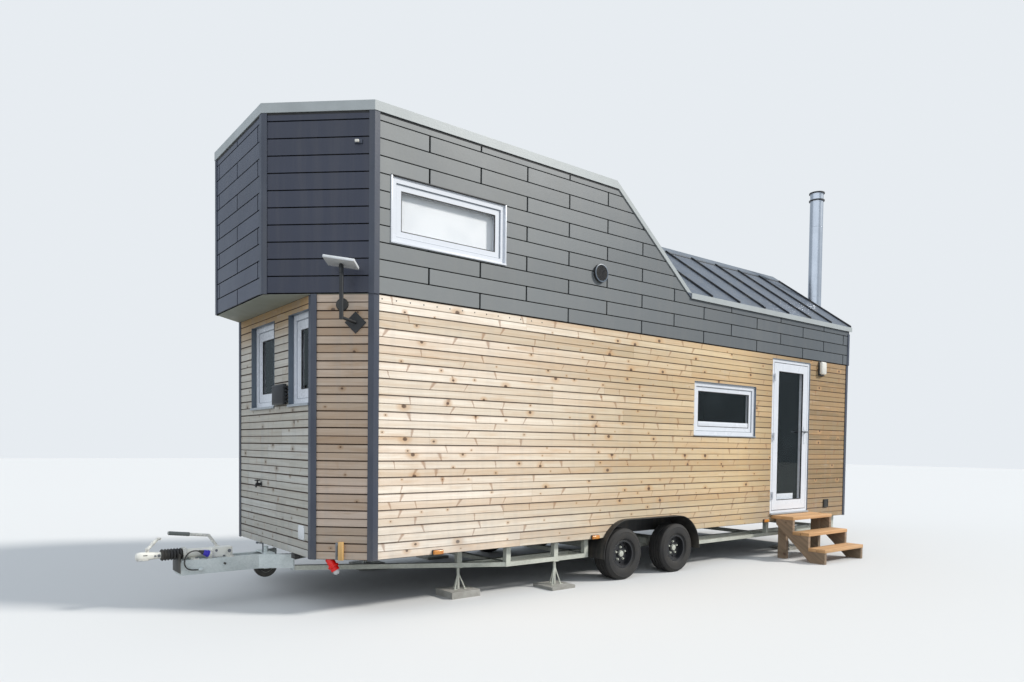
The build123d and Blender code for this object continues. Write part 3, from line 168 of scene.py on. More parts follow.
class Tree:
    """Short calls that place and join the nodes of one material or group."""

    def __init__(self, tree: NodeTree) -> None:
        """Start from an empty tree."""
        self.tree = tree
        tree.nodes.clear()

    def feed(self, socket: NodeSocket, value: object) -> None:
        """Join a value to an input, or write a number, a vector or a colour on it.

        Args:
            socket: the input.
            value: what it gets.
        """
        if isinstance(value, Value):
            self.tree.links.new(value.socket, socket)
        else:
            socket.default_value = (*linear(value), 1.0) if socket.type == "RGBA" else value

    def add(self, kind: str, inputs: dict | None = None, **settings: object) -> Node:
        """Place a node.

        Args:
            kind: its type, without the ShaderNode in front.
            inputs: values for its inputs, by name or number.
            settings: values for its properties.

        Returns:
            The node.
        """
        node = self.tree.nodes.new("ShaderNode" + kind)
        for name, value in settings.items():
            setattr(node, name, value)
        for key, value in (inputs or {}).items():
            self.feed(node.inputs[key], value)
        return node

    def get(self, kind: str, output: int | str = 0, inputs: dict | None = None, **settings: object) -> Value:
        """Place a node as add() does, and take the output of a name or number."""
        return Value(self, self.add(kind, inputs, **settings).outputs[output])

    def math(self, operation: str, *values: object, clamp: bool = False) -> Value:
        """The result of a Math node's operation on values, kept between 0 and 1 if asked."""
        return self.get("Math", 0, dict(enumerate(values)), operation=operation, use_clamp=clamp)

    def blend(self, share: object, first: object, second: object, mode: str = "MIX") -> Value:
        """Mix two colours.

        Args:
            share: how much of the second colour, from 0 to 1.
            first: the first colour.
            second: the second colour.
            mode: the Mix node's blend type.

        Returns:
            The mixed colour.
        """
        return self.get("Mix", 2, {0: share, 6: first, 7: second}, data_type="RGBA", blend_type=mode)

    def noise(self, vector: Value, scale: object, detail: float = 2.0, rough: float = 0.5) -> Value:
        """Cloudy noise over a vector.

        Args:
            vector: the vector.
            scale: how fine the clouds are.
            detail: how many finer layers they have.
            rough: how strong the finer layers are.

        Returns:
            The noise, from 0 to 1 and about 0.5 on average.
        """
        return self.get("TexNoise", 0, {"Vector": vector, "Scale": scale, "Detail": detail, "Roughness": rough})

    def scaled(self, vector: Value, scale: Spot, shift: Spot = (0.0, 0.0, 0.0)) -> Value:
        """A vector scaled along its three axes, then shifted."""
        return self.get("Mapping", 0, {"Vector": vector, "Scale": scale, "Location": shift})

    def place(self) -> Value:
        """The surface point in the shared frame, in metres."""
        return self.get("TexCoord", "Object")

    def tone(self) -> Value:
        """The tone of a board or a plank."""
        return self.get("Attribute", "Fac", attribute_name="tone")

    def joined(self, x: object, y: object, z: object) -> Value:
        """A vector from three numbers."""
        return self.get("CombineXYZ", 0, {0: x, 1: y, 2: z})

    def lit(self, colour: Value, lift: Value, green: float = 1.0, blue: float = 1.0) -> Value:
        """A colour times a number, which is raised to a power for green and for blue."""
        powers = [lift if power == 1.0 else lift**power for power in (green, blue)]
        return self.blend(1.0, colour, self.joined(lift, *powers), "MULTIPLY")

    def chance(self, x: object, y: object, z: object) -> list[Value]:
        """Three even random numbers that belong to three whole numbers."""
        noise = self.get("TexWhiteNoise", "Color", {"Vector": self.joined(x, y, z)}, noise_dimensions="3D")
        return [Value(self, part) for part in self.add("SeparateColor", {0: noise}).outputs]

    def bump(self, height: Value, strength: float, distance: float) -> Value:
        """A normal bent by a height, of which 1 stands a distance high in metres."""
        return self.get("Bump", 0, {"Height": height, "Strength": strength, "Distance": distance})

    def group(self, group: NodeTree, **inputs: object) -> list[Value]:
        """The outputs of a node group, in order, with its inputs fed by name."""
        return [Value(self, output) for output in self.add("Group", inputs, node_tree=group).outputs]


class Effects:
    """Node groups that several finishes share, each built the first time it is asked for."""

    def begin(self, name: str, numbers: str, outputs: str) -> tuple[Tree, list[Value]]:
        """Open a new group whose first input is a vector.

        Args:
            name: its name.
            numbers: the names of its other inputs, which are numbers.
            outputs: the names of its outputs, which are numbers too.

        Returns:
            Its tree and its inputs.
        """
        group = bpy.data.node_groups.new(name, "ShaderNodeTree")
        group.interface.new_socket(name="Vector", in_out="INPUT", socket_type="NodeSocketVector")
        for way, labels in (("INPUT", numbers), ("OUTPUT", outputs)):
            for label in labels.split():
                group.interface.new_socket(name=label, in_out=way, socket_type="NodeSocketFloat")
        tree = Tree(group)
        start = group.nodes.new("NodeGroupInput")
        return tree, [Value(tree, socket) for socket in start.outputs[:-1]]

    def end(self, tree: Tree, *results: Value) -> NodeTree:
        """Close a group whose outputs are these results.

        Args:
            tree: the group's tree.
            results: its outputs in order.

        Returns:
            The group.
        """
        node = tree.tree.nodes.new("NodeGroupOutput")
        for socket, value in zip(node.inputs, results):
            tree.feed(socket, value)
        return tree.tree

    @cached_property
    def grain(self) -> NodeTree:
        """Figure of sawn timber along the first axis of a vector in metres.

        Returns:
            The node group.
        """
        tree, (vector, stretch, spread) = self.begin("Timber grain", "Along Across", "Figure Fibre")
        x, y, z = vector.parts()
        bend = tree.noise(tree.joined(x * 1.4, y * 5.0, z), 1.0)
        run = x * stretch
        rows = (y + bend * 0.03) * spread
        coarse = tree.noise(tree.joined(run, rows, z), 1.0, 3.0, 0.55)
        fine = tree.noise(tree.joined(run * 4.0, rows * 7.0, z), 1.0, 2.0, 0.6)
        return self.end(tree, coarse.step(0.34, 0.66), fine)

    @cached_property
    def knots(self) -> NodeTree:
        """Round knots and slanting branch streaks, a few on each strip of a board.

        Returns:
            The node group.
        """
        tree, (vector, strip, cell, share) = self.begin("Knots", "Strip Cell Share", "Streak Spot Halo")
        along, height, seed = vector.parts()
        level = height / strip
        row = level.floor()
        offset = level - row - 0.5
        rise = offset * strip
        spread = along / cell + tree.chance(row, seed, 3.0)[0] * 7.0
        number = spread.floor()
        middle, slant, breadth = tree.chance(number, row, seed)
        kind, level, largeness = tree.chance(number, row, seed + 11.0)
        run = (spread - number - middle.mad(0.6, 0.2)) * cell
        wobble = (tree.noise(tree.joined(along, height, seed), 60.0) - 0.5) * 0.012
        shear = tree.math("ABSOLUTE", run - rise * ((slant - 0.35) * 1.3) + wobble)
        width = breadth.mad(0.024, 0.008) * offset.mad(0.9, 0.75)
        streak = shear.step(width, width * 0.1) * (kind < share * 0.55)
        down = rise - (level - 0.5) * (strip * 0.8)
        reach = tree.math("SQRT", (run * 0.75) ** 2.0 + down**2.0) + wobble * 0.3
        size = (largeness**2.5).mad(0.017, 0.005)
        has_spot = (kind > share * 0.45) * (kind < share)
        return self.end(
            tree, streak, reach.step(size, size * 0.5) * has_spot, reach.step(size * 3.2, size) * has_spot
        )

    @cached_property
    def mottle(self) -> NodeTree:
        """Soft clouds and fine specks over a surface.

        Returns:
            The node group.
        """
        tree, (vector, scale) = self.begin("Mottle", "Scale", "Cloud Speck")
        cloud = tree.noise(vector, scale, 4.0, 0.6)
        speck = tree.noise(vector, scale * 22.0, 2.0, 0.6)
        return self.end(tree, cloud.step(0.28, 0.72), speck.step(0.28, 0.72))

    @cached_property
    def dust(self) -> NodeTree:
        """Splash and dust that thins out upward from a height, and rain streaks over it.

        Returns:
            The node group.
        """
        tree, (vector, low, high) = self.begin("Dust", "Low High", "Splash Streaks")
        x, y, z = vector.parts()
        cloud = tree.noise(vector, 5.0, 5.0, 0.65)
        streaks = tree.noise(tree.joined(x * 9.0, y * 9.0, z * 0.6), 1.6, 4.0, 0.6)
        return self.end(tree, z.step(high, low) * cloud.step(0.25, 0.7), streaks.step(0.42, 0.72))

    @cached_property
    def wear(self) -> NodeTree:
        """Rubbed edges, from how sharply the surface turns there.

        Returns:
            The node group.
        """
        tree, (vector, reach) = self.begin("Edge wear", "Reach", "Edge")
        sharp = tree.get("NewGeometry", "Pointiness")
        edge = sharp.step(0.52, tree.math("SUBTRACT", 0.62, reach))
        return self.end(tree, edge * tree.noise(vector, 40.0, 3.0).step(0.35, 0.6))


class Run(Enum):
    """Which axis of the shared frame a change of colour or a grain follows."""

    ALONG = 0
    UP = 2


@dataclass(frozen=True)
class Finish:
    """What every finish has: its name and the plain numbers of its shader."""

    name: str
    _: KW_ONLY
    roughness: float = 0.5
    metallic: float = 0.0
    specular: float = 0.5
    coat: float = 0.0

    def make(self, effects: Effects) -> Material:
        """The finished material, with the shared effects that it asks for.

        Args:
            effects: the shared node groups.

        Returns:
            The material.
        """
        material = bpy.data.materials.new(self.name)
        material.use_nodes = True
        tree = Tree(material.node_tree)
        plain = {
            "Roughness": self.roughness,
            "Metallic": self.metallic,
            "Specular IOR Level": self.specular,
            "Coat Weight": self.coat,
            "Coat Roughness": 0.12,
        }
        tree.add("OutputMaterial", {0: tree.get("BsdfPrincipled", 0, plain | self.look(tree, effects))})
        return material

    def look(self, tree: Tree, effects: Effects) -> dict[str, Value]:
        """What varies over the surface; each kind of finish has its own.

        Args:
            tree: the material's tree.
            effects: the shared effects.

        Returns:
            Values for the shader's inputs, by name.
        """
        raise NotImplementedError(tree, effects)


@dataclass(frozen=True)
class CladdingTimber(Finish):
    """Spruce boards weathering in the open, with knots, streaks and painted shade in their joints and grooves."""

    colours: tuple[Colour, Colour, Colour]
    run: Run = Run.ALONG
    low: float = -3.0
    high: float = 4.2
    middle: float = 0.5
    stops: tuple[tuple[float, Colour], ...] = ()
    figure: Colour = (0.46, 0.27, 0.13)
    warm: Colour = (0.55, 0.31, 0.13)
    pale: Colour = (0.72, 0.66, 0.57)
    knot: Colour = (0.07, 0.03, 0.012)
    grey: Colour = (0.3, 0.31, 0.31)
    greyness: float = 0.1
    strip: float = 0.0646
    cell: float = 0.3
    base: float = 0.44
    # The colour of the painted shade in the joints and the middle grooves.
    joint: Colour = (0.05, 0.024, 0.01)
    joint_shade_share: float = 0.92
    groove_shade_share: float = 0.8
    warmth: float = 0.3
    knottiness: float = 0.62
    variety: float = 0.3
    streak: float = 0.62
    streak_colour: Colour = (0.29, 0.13, 0.055)

    def ground(self, tree: Tree, place: Value) -> Value:
        """The timber's colour as it changes over the house.

        Args:
            tree: the node tree that it is drawn in.
            place: the place on the object.

        Returns:
            The colour.
        """
        ramp = tree.add("ValToRGB", {0: place.parts()[self.run.value].step(self.low, self.high)})
        stops = ramp.color_ramp.elements
        first, middle, last = self.colours
        for stop, shade in ((stops[0], first), (stops[1], last)):
            stop.color = (*linear(shade), 1.0)
        for position, shade in ((self.middle, middle), *self.stops):
            stops.new(position).color = (*linear(shade), 1.0)
        return Value(tree, ramp.outputs[0])

    def grooves(self, tree: Tree, height: Value) -> Value:
        """How deep a height over the lowest board's foot lies in the shade of a joint or a groove.

        Args:
            tree: the node tree that it is drawn in.
            height: the height over the lowest board's foot.

        Returns:
            How dark the shade is.
        """
        level = height / (2 * self.strip)
        edge = tree.math("ABSOLUTE", level - level.floor() - 0.5)
        joint = edge.step(0.44, 0.474) * self.joint_shade_share
        return tree.math("MAXIMUM", joint, edge.step(0.044, 0.018) * self.groove_shade_share)

    def look(self, tree: Tree, effects: Effects) -> dict[str, Value]:
        """Board timber read along the board from the piece's grain map.

        Args:
            tree: the node tree that it is drawn in.
            effects: the shared node groups.

        Returns:
            The shader's inputs by name.
        """
        place = tree.place()
        along, height, _ = tree.get("UVMap", uv_map="grain").parts()
        tone = tree.tone()
        seed = tone * 37.0
        height = height - self.base
        lift, warmth, shift = tree.chance((height / self.strip).floor(), seed.floor(), 5.0)
        vector = tree.joined(along, height, seed + shift * 9.0)
        figure, fibre = tree.group(effects.grain, Vector=vector, Along=1.1, Across=42.0)
        board = tree.joined(along, height, seed.floor())
        streak, spot, halo = tree.group(
            effects.knots, Vector=board, Strip=self.strip, Cell=self.cell, Share=self.knottiness
        )
        # Each board and each strip of it has its own tone.
        lift = lift.mad(0.14, tone.mad(self.variety, 0.98 - self.variety / 2))
        colour = tree.lit(self.ground(tree, place), lift, 1.12, 1.4)
        stain = tree.noise(tree.scaled(vector, (1.6, 11.0, 1.0)), 1.0, 4.0, 0.62)
        pale = tree.noise(tree.scaled(vector, (2.3, 16.0, 1.0), (7.0, 3.0, 1.0)), 1.0, 3.0, 0.6)
        splash, rain = tree.group(effects.dust, Vector=place, Low=0.42, High=1.0)
        for share, shade in (
            (warmth**2.0 * self.warmth, self.warm),
            (stain.step(0.5, 0.78, 0.0, self.warmth * 1.5), self.warm),
            (pale.step(0.56, 0.8, 0.0, 0.3), self.pale),
            (figure * 0.24, self.figure),
            (fibre.step(0.3, 0.75, 0.0, 0.2), self.figure),
            (halo * 0.5, self.warm),
            (streak * self.streak, self.streak_colour),
            (spot * 0.88, self.knot),
            (rain.mad(self.greyness, splash * 0.28, clamp=True), self.grey),
            # Painted shade: dark lines at each joint and middle groove.
            (self.grooves(tree, height), self.joint),
        ):
            colour = tree.blend(share, colour, shade)
        rough = fibre.step(0.2, 0.8, 0.62, 0.85)
        return {"Base Color": colour, "Roughness": rough, "Normal": tree.bump(fibre, 0.45, 0.0014)}


@dataclass(frozen=True)
class PlankTimber(Finish):
    """Planed outdoor timber of the steps, oiled and a little dusty."""

    pale: Colour
    dark: Colour
    knot: Colour = (0.08, 0.035, 0.02)
    dust: Colour = "6B6455"
    slope: float | None = None

    def lines(self, tree: Tree) -> tuple[Value, Value, Value]:
        """Places along and across the grain, and the plank's tone.

        Args:
            tree: the node tree that it is drawn in.

        Returns:
            The place along, the place across and the tone.
        """
        if self.slope is None:
            along, across, _ = tree.get("UVMap", uv_map="grain").parts()
            return along, across, tree.tone()
        turn = (math.radians(-self.slope), 0.0, 0.0)
        x, along, across = tree.get("Mapping", 0, {"Vector": tree.place(), "Rotation": turn}).parts()
        return along, across, tree.chance((x * 6.0).floor(), 1.0, 2.0)[0]

    def look(self, tree: Tree, effects: Effects) -> dict[str, Value]:
        """Timber read along each plank.

        Args:
            tree: the node tree that it is drawn in.
            effects: the shared node groups.

        Returns:
            The shader's inputs by name.
        """
        along, across, tone = self.lines(tree)
        vector = tree.joined(along, across, (tone * 37.0).floor())
        figure, fibre = tree.group(effects.grain, Vector=vector, Along=1.6, Across=45.0)
        _, spot, halo = tree.group(effects.knots, Vector=vector, Strip=0.12, Cell=0.31, Share=0.4)
        splash, _ = tree.group(effects.dust, Vector=tree.place(), Low=0.0, High=0.3)
        colour = tree.lit(tree.blend(figure * 0.5, self.pale, self.dark), tone.mad(0.3, 0.85))
        for share, shade in ((halo * 0.4, self.dark), (spot * 0.8, self.knot), (splash * 0.35, self.dust)):
            colour = tree.blend(share, colour, shade)
        rough = fibre.step(0.2, 0.8, 0.5, 0.75)
        return {"Base Color": colour, "Roughness": rough, "Normal": tree.bump(fibre, 0.4, 0.0012)}


@dataclass(frozen=True)
class Coating(Finish):
    """Paint, powder coat or plain plastic, with clouds, specks, dust and rubbed edges, and where asked a painted
    sheen that fades along the object and lines of painted shade at seams.
    """

    colour: Colour
    second: Colour
    dust_colour: Colour = (0.33, 0.29, 0.22)
    dust_share: float = 0.25
    dust_high: float = 0.9
    streak_share: float = 0.12
    scale: float = 3.0
    skin: float = 0.0004
    toned: float = 0.0
    edge_colour: Colour = (0.4, 0.4, 0.4)
    edge_share: float = 0.0
    painted_sheen_far_colour: Colour | None = None
    painted_sheen_run: Span = (-3.0, 4.2)
    seam: tuple[float, float, float] | None = None
    seam_shade_colour: Colour = (0.012, 0.014, 0.018)

    def seams(self, tree: Tree, x: Value, colour: Value) -> Value:
        """A colour with thin lines of painted shade at even places along the object, where the seams stand.

        Args:
            tree: the node tree that it is drawn in.
            x: the place along the object.
            colour: the colour between the lines.

        Returns:
            The colour with its lines.
        """
        first, pitch, half = self.seam
        along = (x - first) / pitch
        away = tree.math("ABSOLUTE", along - tree.math("ROUND", along))
        return tree.blend(away.step(half * 1.25 / pitch, half * 0.8 / pitch), colour, self.seam_shade_colour)

    def look(self, tree: Tree, effects: Effects) -> dict[str, Value]:
        """Coated surface read from its place on the object.

        Args:
            tree: the node tree that it is drawn in.
            effects: the shared node groups.

        Returns:
            The shader's inputs by name.
        """
        place = tree.place()
        cloud, speck = tree.group(effects.mottle, Vector=place, Scale=self.scale)
        colour = tree.blend(cloud, self.colour, self.second)
        # Painted sheen: the colour fades along x from the lighter front toward a darker rear colour.
        if self.painted_sheen_far_colour:
            colour = tree.blend(place.parts()[0].step(*self.painted_sheen_run), colour, self.painted_sheen_far_colour)
        # Painted shade: thin dark lines along the roof's seams.
        if self.seam:
            colour = self.seams(tree, place.parts()[0], colour)
        if self.toned:
            colour = tree.lit(colour, tree.tone().mad(self.toned, 1.0 - self.toned / 2))
        splash, rain = tree.group(effects.dust, Vector=place, Low=0.0, High=self.dust_high)
        share = rain.mad(self.streak_share, splash * self.dust_share, clamp=True)
        colour = tree.blend(share, colour, self.dust_colour)
        if self.edge_share:
            edge = tree.group(effects.wear, Vector=place, Reach=0.04)[0]
            colour = tree.blend(edge * self.edge_share, colour, self.edge_colour)
        rough = share.mad(0.3, cloud.mad(0.12, self.roughness - 0.06), clamp=True)
        return {"Base Color": colour, "Roughness": rough, "Normal": tree.bump(speck, 0.3, self.skin)}


@dataclass(frozen=True)
class ZincCoat(Finish):
    """Hot dipped zinc with its crystal pattern, dulled by the weather."""

    bright: Colour
    dull: Colour
    rust: Colour = (0.2, 0.09, 0.03)
    dust: Colour = "6A6252"
    rust_share: float = 0.15
    crystal: float = 90.0

    def look(self, tree: Tree, effects: Effects) -> dict[str, Value]:
        """Zinc read from its place on the object.

        Args:
            tree: the node tree that it is drawn in.
            effects: the shared node groups.

        Returns:
            The shader's inputs by name.
        """
        place = tree.place()
        tint = tree.get("TexVoronoi", "Color", {"Vector": place, "Scale": self.crystal}).parts()[0]
        cloud, speck = tree.group(effects.mottle, Vector=place, Scale=6.0)
        splash, _ = tree.group(effects.dust, Vector=place, Low=0.0, High=0.5)
        colour = tree.blend(tint.mad(0.35, cloud * 0.6), self.bright, self.dull)
        colour = tree.blend(splash * 0.25, colour, self.dust)
        stain = tree.noise(place, 14.0, 5.0, 0.7).step(0.62, 0.8, 0.0, self.rust_share)
        colour = tree.blend(stain, colour, self.rust)
        rough = tint.mad(0.18, self.roughness, clamp=True)
        return {"Base Color": colour, "Roughness": rough, "Normal": tree.bump(speck, 0.25, 0.0004)}


@dataclass(frozen=True)
class BrightMetal(Finish):
    """Brushed or cast bright metal, brushed along one axis."""

    colour: Colour
    second: Colour
    brush: Spot = (120.0, 120.0, 4.0)

    def look(self, tree: Tree, effects: Effects) -> dict[str, Value]:
        """Metal read from its place on the object.

        Args:
            tree: the node tree that it is drawn in.
            effects: the shared node groups.

        Returns:
            The shader's inputs by name.
        """
        place = tree.place()
        lines = tree.noise(tree.scaled(place, self.brush), 1.0, 3.0, 0.6)
        cloud, _ = tree.group(effects.mottle, Vector=place, Scale=5.0)
        colour = tree.blend(lines.mad(0.5, cloud * 0.4), self.colour, self.second)
        rough = lines.mad(0.2, self.roughness - 0.1)
        return {"Base Color": colour, "Roughness": rough, "Normal": tree.bump(lines, 0.15, 0.0003)}


@dataclass(frozen=True)
class TyreRubber(Finish):
    """Dull black rubber, dusty where it rolls."""

    colour: Colour
    dust_colour: Colour = (0.16, 0.14, 0.11)

    def look(self, tree: Tree, effects: Effects) -> dict[str, Value]:
        """Rubber with clouds of dust.

        Args:
            tree: the node tree that it is drawn in.
            effects: the shared node groups.

        Returns:
            The shader's inputs by name.
        """
        cloud, speck = tree.group(effects.mottle, Vector=tree.place(), Scale=9.0)
        share = cloud * 0.3
        colour = tree.blend(share, self.colour, self.dust_colour)
        rough = share.mad(0.4, self.roughness, clamp=True)
        return {"Base Color": colour, "Roughness": rough, "Normal": tree.bump(speck, 0.4, 0.0006)}


@dataclass(frozen=True)
class WindowGlass(Finish):
    """Thin clear panes: what they mirror grows toward their edges, and the rest shows through."""

    tint: Colour = (0.62, 0.7, 0.7)
    haze: float = 0.01
    mirror: float = 0.65

    def look(self, tree: Tree, effects: Effects) -> dict[str, Value]:
        """A see-through sheet whose cover is its mirror image.

        Args:
            tree: the node tree that it is drawn in.
            effects: the shared node groups.

        Returns:
            The shader's inputs by name.
        """
        inside = tree.get("NewGeometry", "Backfacing")
        mirror = tree.get("Fresnel", 0, {"IOR": 1.5}) * tree.math("SUBTRACT", 1.0, inside)
        smears = tree.noise(tree.place(), 3.0, 4.0, 0.6).step(0.45, 0.8)
        cover = smears.mad(0.012, mirror.mad(self.mirror, self.haze), clamp=True)
        return {"Base Color": self.tint, "Alpha": cover}


@dataclass(frozen=True)
class CastConcrete(Finish):
    """Cast concrete with pores and damp edges low down."""

    pale: Colour = (0.42, 0.41, 0.38)
    damp: Colour = (0.2, 0.19, 0.16)

    def look(self, tree: Tree, effects: Effects) -> dict[str, Value]:
        """Concrete read from its place on the object.

        Args:
            tree: the node tree that it is drawn in.
            effects: the shared node groups.

        Returns:
            The shader's inputs by name.
        """
        place = tree.place()
        cloud, speck = tree.group(effects.mottle, Vector=place, Scale=12.0)
        splash, _ = tree.group(effects.dust, Vector=place, Low=0.0, High=0.09)
        pit = tree.get("TexVoronoi", "Distance", {"Vector": place, "Scale": 110.0}).step(0.28, 0.12)
        colour = tree.blend(cloud * 0.45, self.pale, self.damp)
        for share in (splash * 0.6, pit * 0.5):
            colour = tree.blend(share, colour, self.damp)
        return {"Base Color": colour, "Normal": tree.bump(speck - pit, 0.6, 0.002)}


@dataclass(frozen=True)
class BlindCloth(Finish):
    """Close woven white cloth of a blind."""

    colour: Colour = (0.86, 0.87, 0.88)
    shade: Colour = (0.7, 0.72, 0.75)
    thread: float = 900.0

    def look(self, tree: Tree, effects: Effects) -> dict[str, Value]:
        """Cloth with a weave read from its place on the object.

        Args:
            tree: the node tree that it is drawn in.
            effects: the shared node groups.

        Returns:
            The shader's inputs by name.
        """
        place = tree.place()
        x, _, z = place.parts()
        warp, weft = (tree.math("SINE", run * self.thread) for run in (x, z))
        weave = (warp * weft).mad(0.5, 0.5)
        share = weave.mad(0.25, tree.noise(place, 4.0, 3.0).step(0.4, 0.7, 0.0, 0.4))
        return {"Base Color": tree.blend(share, self.colour, self.shade), "Normal": tree.bump(weave, 0.2, 0.0004)}


class Maker:
    """One piece in the making: shapes from mesh operators, gathered into one mesh."""

    def __init__(self, name: str, seed: int = 1) -> None:
        """Start an empty mesh with the piece's name and a seed for its random tones.

        Args:
            name: the piece's name.
            seed: the seed of its random tones.
        """
        self.name = name
        self.bm = bmesh.new()
        self.chance = random.Random(seed)

    def fresh(self, before: set, material: int) -> list:
        """Give a material number to the faces made since a set of faces was taken, and list them.

        Args:
            before: the faces that were there.
            material: the new faces' material number.

        Returns:
            The new faces.
        """
        faces = [face for face in self.bm.faces if face not in before]
        for face in faces:
            face.material_index = material
        return faces

    def block(self, matrix: Matrix, bevel: float, material: int, segments: int = 2) -> list:
        """Add a cube that a matrix shapes and places.

        Args:
            matrix: the matrix, for a cube of 1 m about the origin.
            bevel: how wide its rounded edges are, in millimetres.
            material: the number of its material.
            segments: how many facets a rounded edge has.

        Returns:
            Its faces.
        """
        before = set(self.bm.faces)
        made = bmesh.ops.create_cube(self.bm, size=1.0, matrix=matrix)
        if bevel:
            self.round_edges({edge for vert in made["verts"] for edge in vert.link_edges}, bevel, segments)
        return self.fresh(before, material)

    def box(self, low: Spot, high: Spot, bevel: float = 0.0, material: int = 0, segments: int = 2) -> list:
        """Add a box between two corners in millimetres of the datum.

        Args:
            low: its lower corner.
            high: its upper corner.
            bevel: how wide its rounded edges are.
            material: its material number.
            segments: the steps of a rounded edge.

        Returns:
            Its faces.
        """
        first, last = at(*low), at(*high)
        matrix = Matrix.Translation((first + last) / 2) @ Matrix.Diagonal((*(last - first), 1.0))
        return self.block(matrix, bevel, material, segments)

    def panel(
        self, face: "WallFace", along: Span, out: Span, height: Span, bevel: float = 0.0, material: int = 0
    ) -> list:
        """Add a box that lies along a wall.

        Args:
            face: the wall's face.
            along: where it starts and ends along the face, in millimetres.
            out: how far out of the face it starts and ends.
            height: its lowest and highest height.
            bevel: how wide its rounded edges are.
            material: the number of its material.

        Returns:
            Its faces.
        """
        first, last = (face.spot(*corner) for corner in zip(along, out, height))
        size = [(pair[1] - pair[0]) / 1000 for pair in (along, out, height)]
        turn = Matrix((face.run, face.outward, Vector((0.0, 0.0, 1.0)))).transposed().to_4x4()
        matrix = Matrix.Translation((first + last) / 2) @ turn @ Matrix.Diagonal((*size, 1.0))
        return self.block(matrix, bevel, material)

    def panels(self, face: "WallFace", *rows: Sequence[float]) -> None:
        """Add panels on a wall.

        Args:
            face: the wall's face.
            rows: start and end along, out and up, then bevel and perhaps material, of each panel.
        """
        for first, last, inner, outer, low, high, *more in rows:
            self.panel(face, (first, last), (inner, outer), (low, high), *more)

    def round_edges(self, edges: Iterable, width: float, segments: int = 2) -> None:
        """Round edges by a width in millimetres, with a number of facets."""
        options = {"offset": width / 1000, "segments": segments, "profile": 0.5, "affect": "EDGES"}
        bmesh.ops.bevel(self.bm, geom=list(edges), material=-1, clamp_overlap=True, **options)

    def rod(
        self, start: Spot, end: Spot, radius: float, far: float | None = None, steps: int = 20, material: int = 0
    ) -> None:
        """Add a round rod or a taper between two places.

        Args:
            start: the middle of its first end, in millimetres of the datum.
            end: the middle of its other end.
            radius: its radius, in millimetres.
            far: its radius at the other end, where that differs.
            steps: how many sides it has.
            material: the number of its material.
        """
        before = set(self.bm.faces)
        first, last = at(*start), at(*end)
        run = last - first
        matrix = Matrix.Translation((first + last) / 2) @ run.to_track_quat("Z", "Y").to_matrix().to_4x4()
        radii = {"radius1": radius / 1000, "radius2": (radius if far is None else far) / 1000}
        bmesh.ops.create_cone(self.bm, cap_ends=True, segments=steps, depth=run.length, matrix=matrix, **radii)
        self.fresh(before, material)

    def rods(self, *rows: Sequence) -> None:
        """Add a rod for each row of rod()'s arguments."""
        for row in rows:
            self.rod(*row)

    def lathe(self, outline: Iterable[Span], centre: Spot, axis: Spot, steps: int = 64, material: int = 0) -> None:
        """Spin a closed outline round an axis.

        Args:
            outline: its corners as (radius, place along the axis), in millimetres.
            centre: where place 0 is, in millimetres of the datum.
            axis: the axis' direction.
            steps: how many steps a full turn has.
            material: the number of its material.
        """
        before = set(self.bm.faces)
        middle = at(*centre)
        way = Vector(axis).normalized()
        side = way.orthogonal().normalized()
        verts = [self.bm.verts.new(middle + way * place / 1000 + side * radius / 1000) for radius, place in outline]
        edges = [self.bm.edges.new(pair) for pair in zip(verts, verts[1:] + verts[:1])]
        spin = {"cent": middle, "axis": way, "angle": 2 * math.pi, "steps": steps, "use_merge": True}
        bmesh.ops.spin(self.bm, geom=verts + edges, **spin)
        corners = {vert for face in self.fresh(before, material) for vert in face.verts}
        bmesh.ops.remove_doubles(self.bm, verts=list(corners), dist=1e-6)

    def prism(self, corners: Iterable[Vector], run: Vector, material: int = 0) -> None:
        """Sweep a flat outline along a straight run, both in the shared frame.

        Args:
            corners: the outline's corners.
            run: the way and the length of the run.
            material: its material number.
        """
        before = set(self.bm.faces)
        base = self.bm.faces.new([self.bm.verts.new(corner) for corner in corners])
        moved = bmesh.ops.extrude_face_region(self.bm, geom=[base])
        verts = [item for item in moved["geom"] if isinstance(item, bmesh.types.BMVert)]
        bmesh.ops.translate(self.bm, vec=run, verts=verts)
        self.fresh(before, material)

    def ring(self, face: "WallFace", along: Span, height: Span, width: float, out: Span, material: int = 0) -> None:
        """Add a flat frame of four bars just inside a rectangle on a wall.

        Args:
            face: the wall's face.
            along: the rectangle's start and end along the face, in millimetres.
            height: its lowest and highest height.
            width: how wide the bars are.
            out: how far out of the face the bars start and end.
            material: the number of their material.
        """
        (first, last), (low, high) = along, height
        for bar in ((first, first + width), (last - width, last)):
            self.panel(face, bar, out, height, material=material)
        for bar in ((low, low + width), (high - width, high)):
            self.panel(face, (first + width, last - width), out, bar, material=material)

    def loft(
        self, sections: Sequence[tuple[float, float, float, float]], steps: int = 24, square: float = 0.62
    ) -> None:
        """Add a closed form through rounded cross sections that follow one another along x.

        Args:
            sections: x, half width, middle height and half height of each, in millimetres.
            steps: how many sides the form has.
            square: the power that squares off its round sections.
        """
        before = set(self.bm.faces)
        loops = []
        for section in sections:
            x, half_width, middle, half_height = section
            ends = section in (sections[0], sections[-1])
            made = bmesh.ops.create_circle(self.bm, cap_ends=ends, segments=steps, radius=1.0)["verts"]
            for vert in made:
                flat, up = (math.copysign(abs(part) ** square, part) for part in vert.co.xy)
                vert.co = at(x, flat * half_width, middle + up * half_height)
            loops.append({edge for vert in made for edge in vert.link_edges if edge.other_vert(vert) in set(made)})
        for first, second in zip(loops, loops[1:]):
            bmesh.ops.bridge_loops(self.bm, edges=list(first | second))
        self.fresh(before, 0)

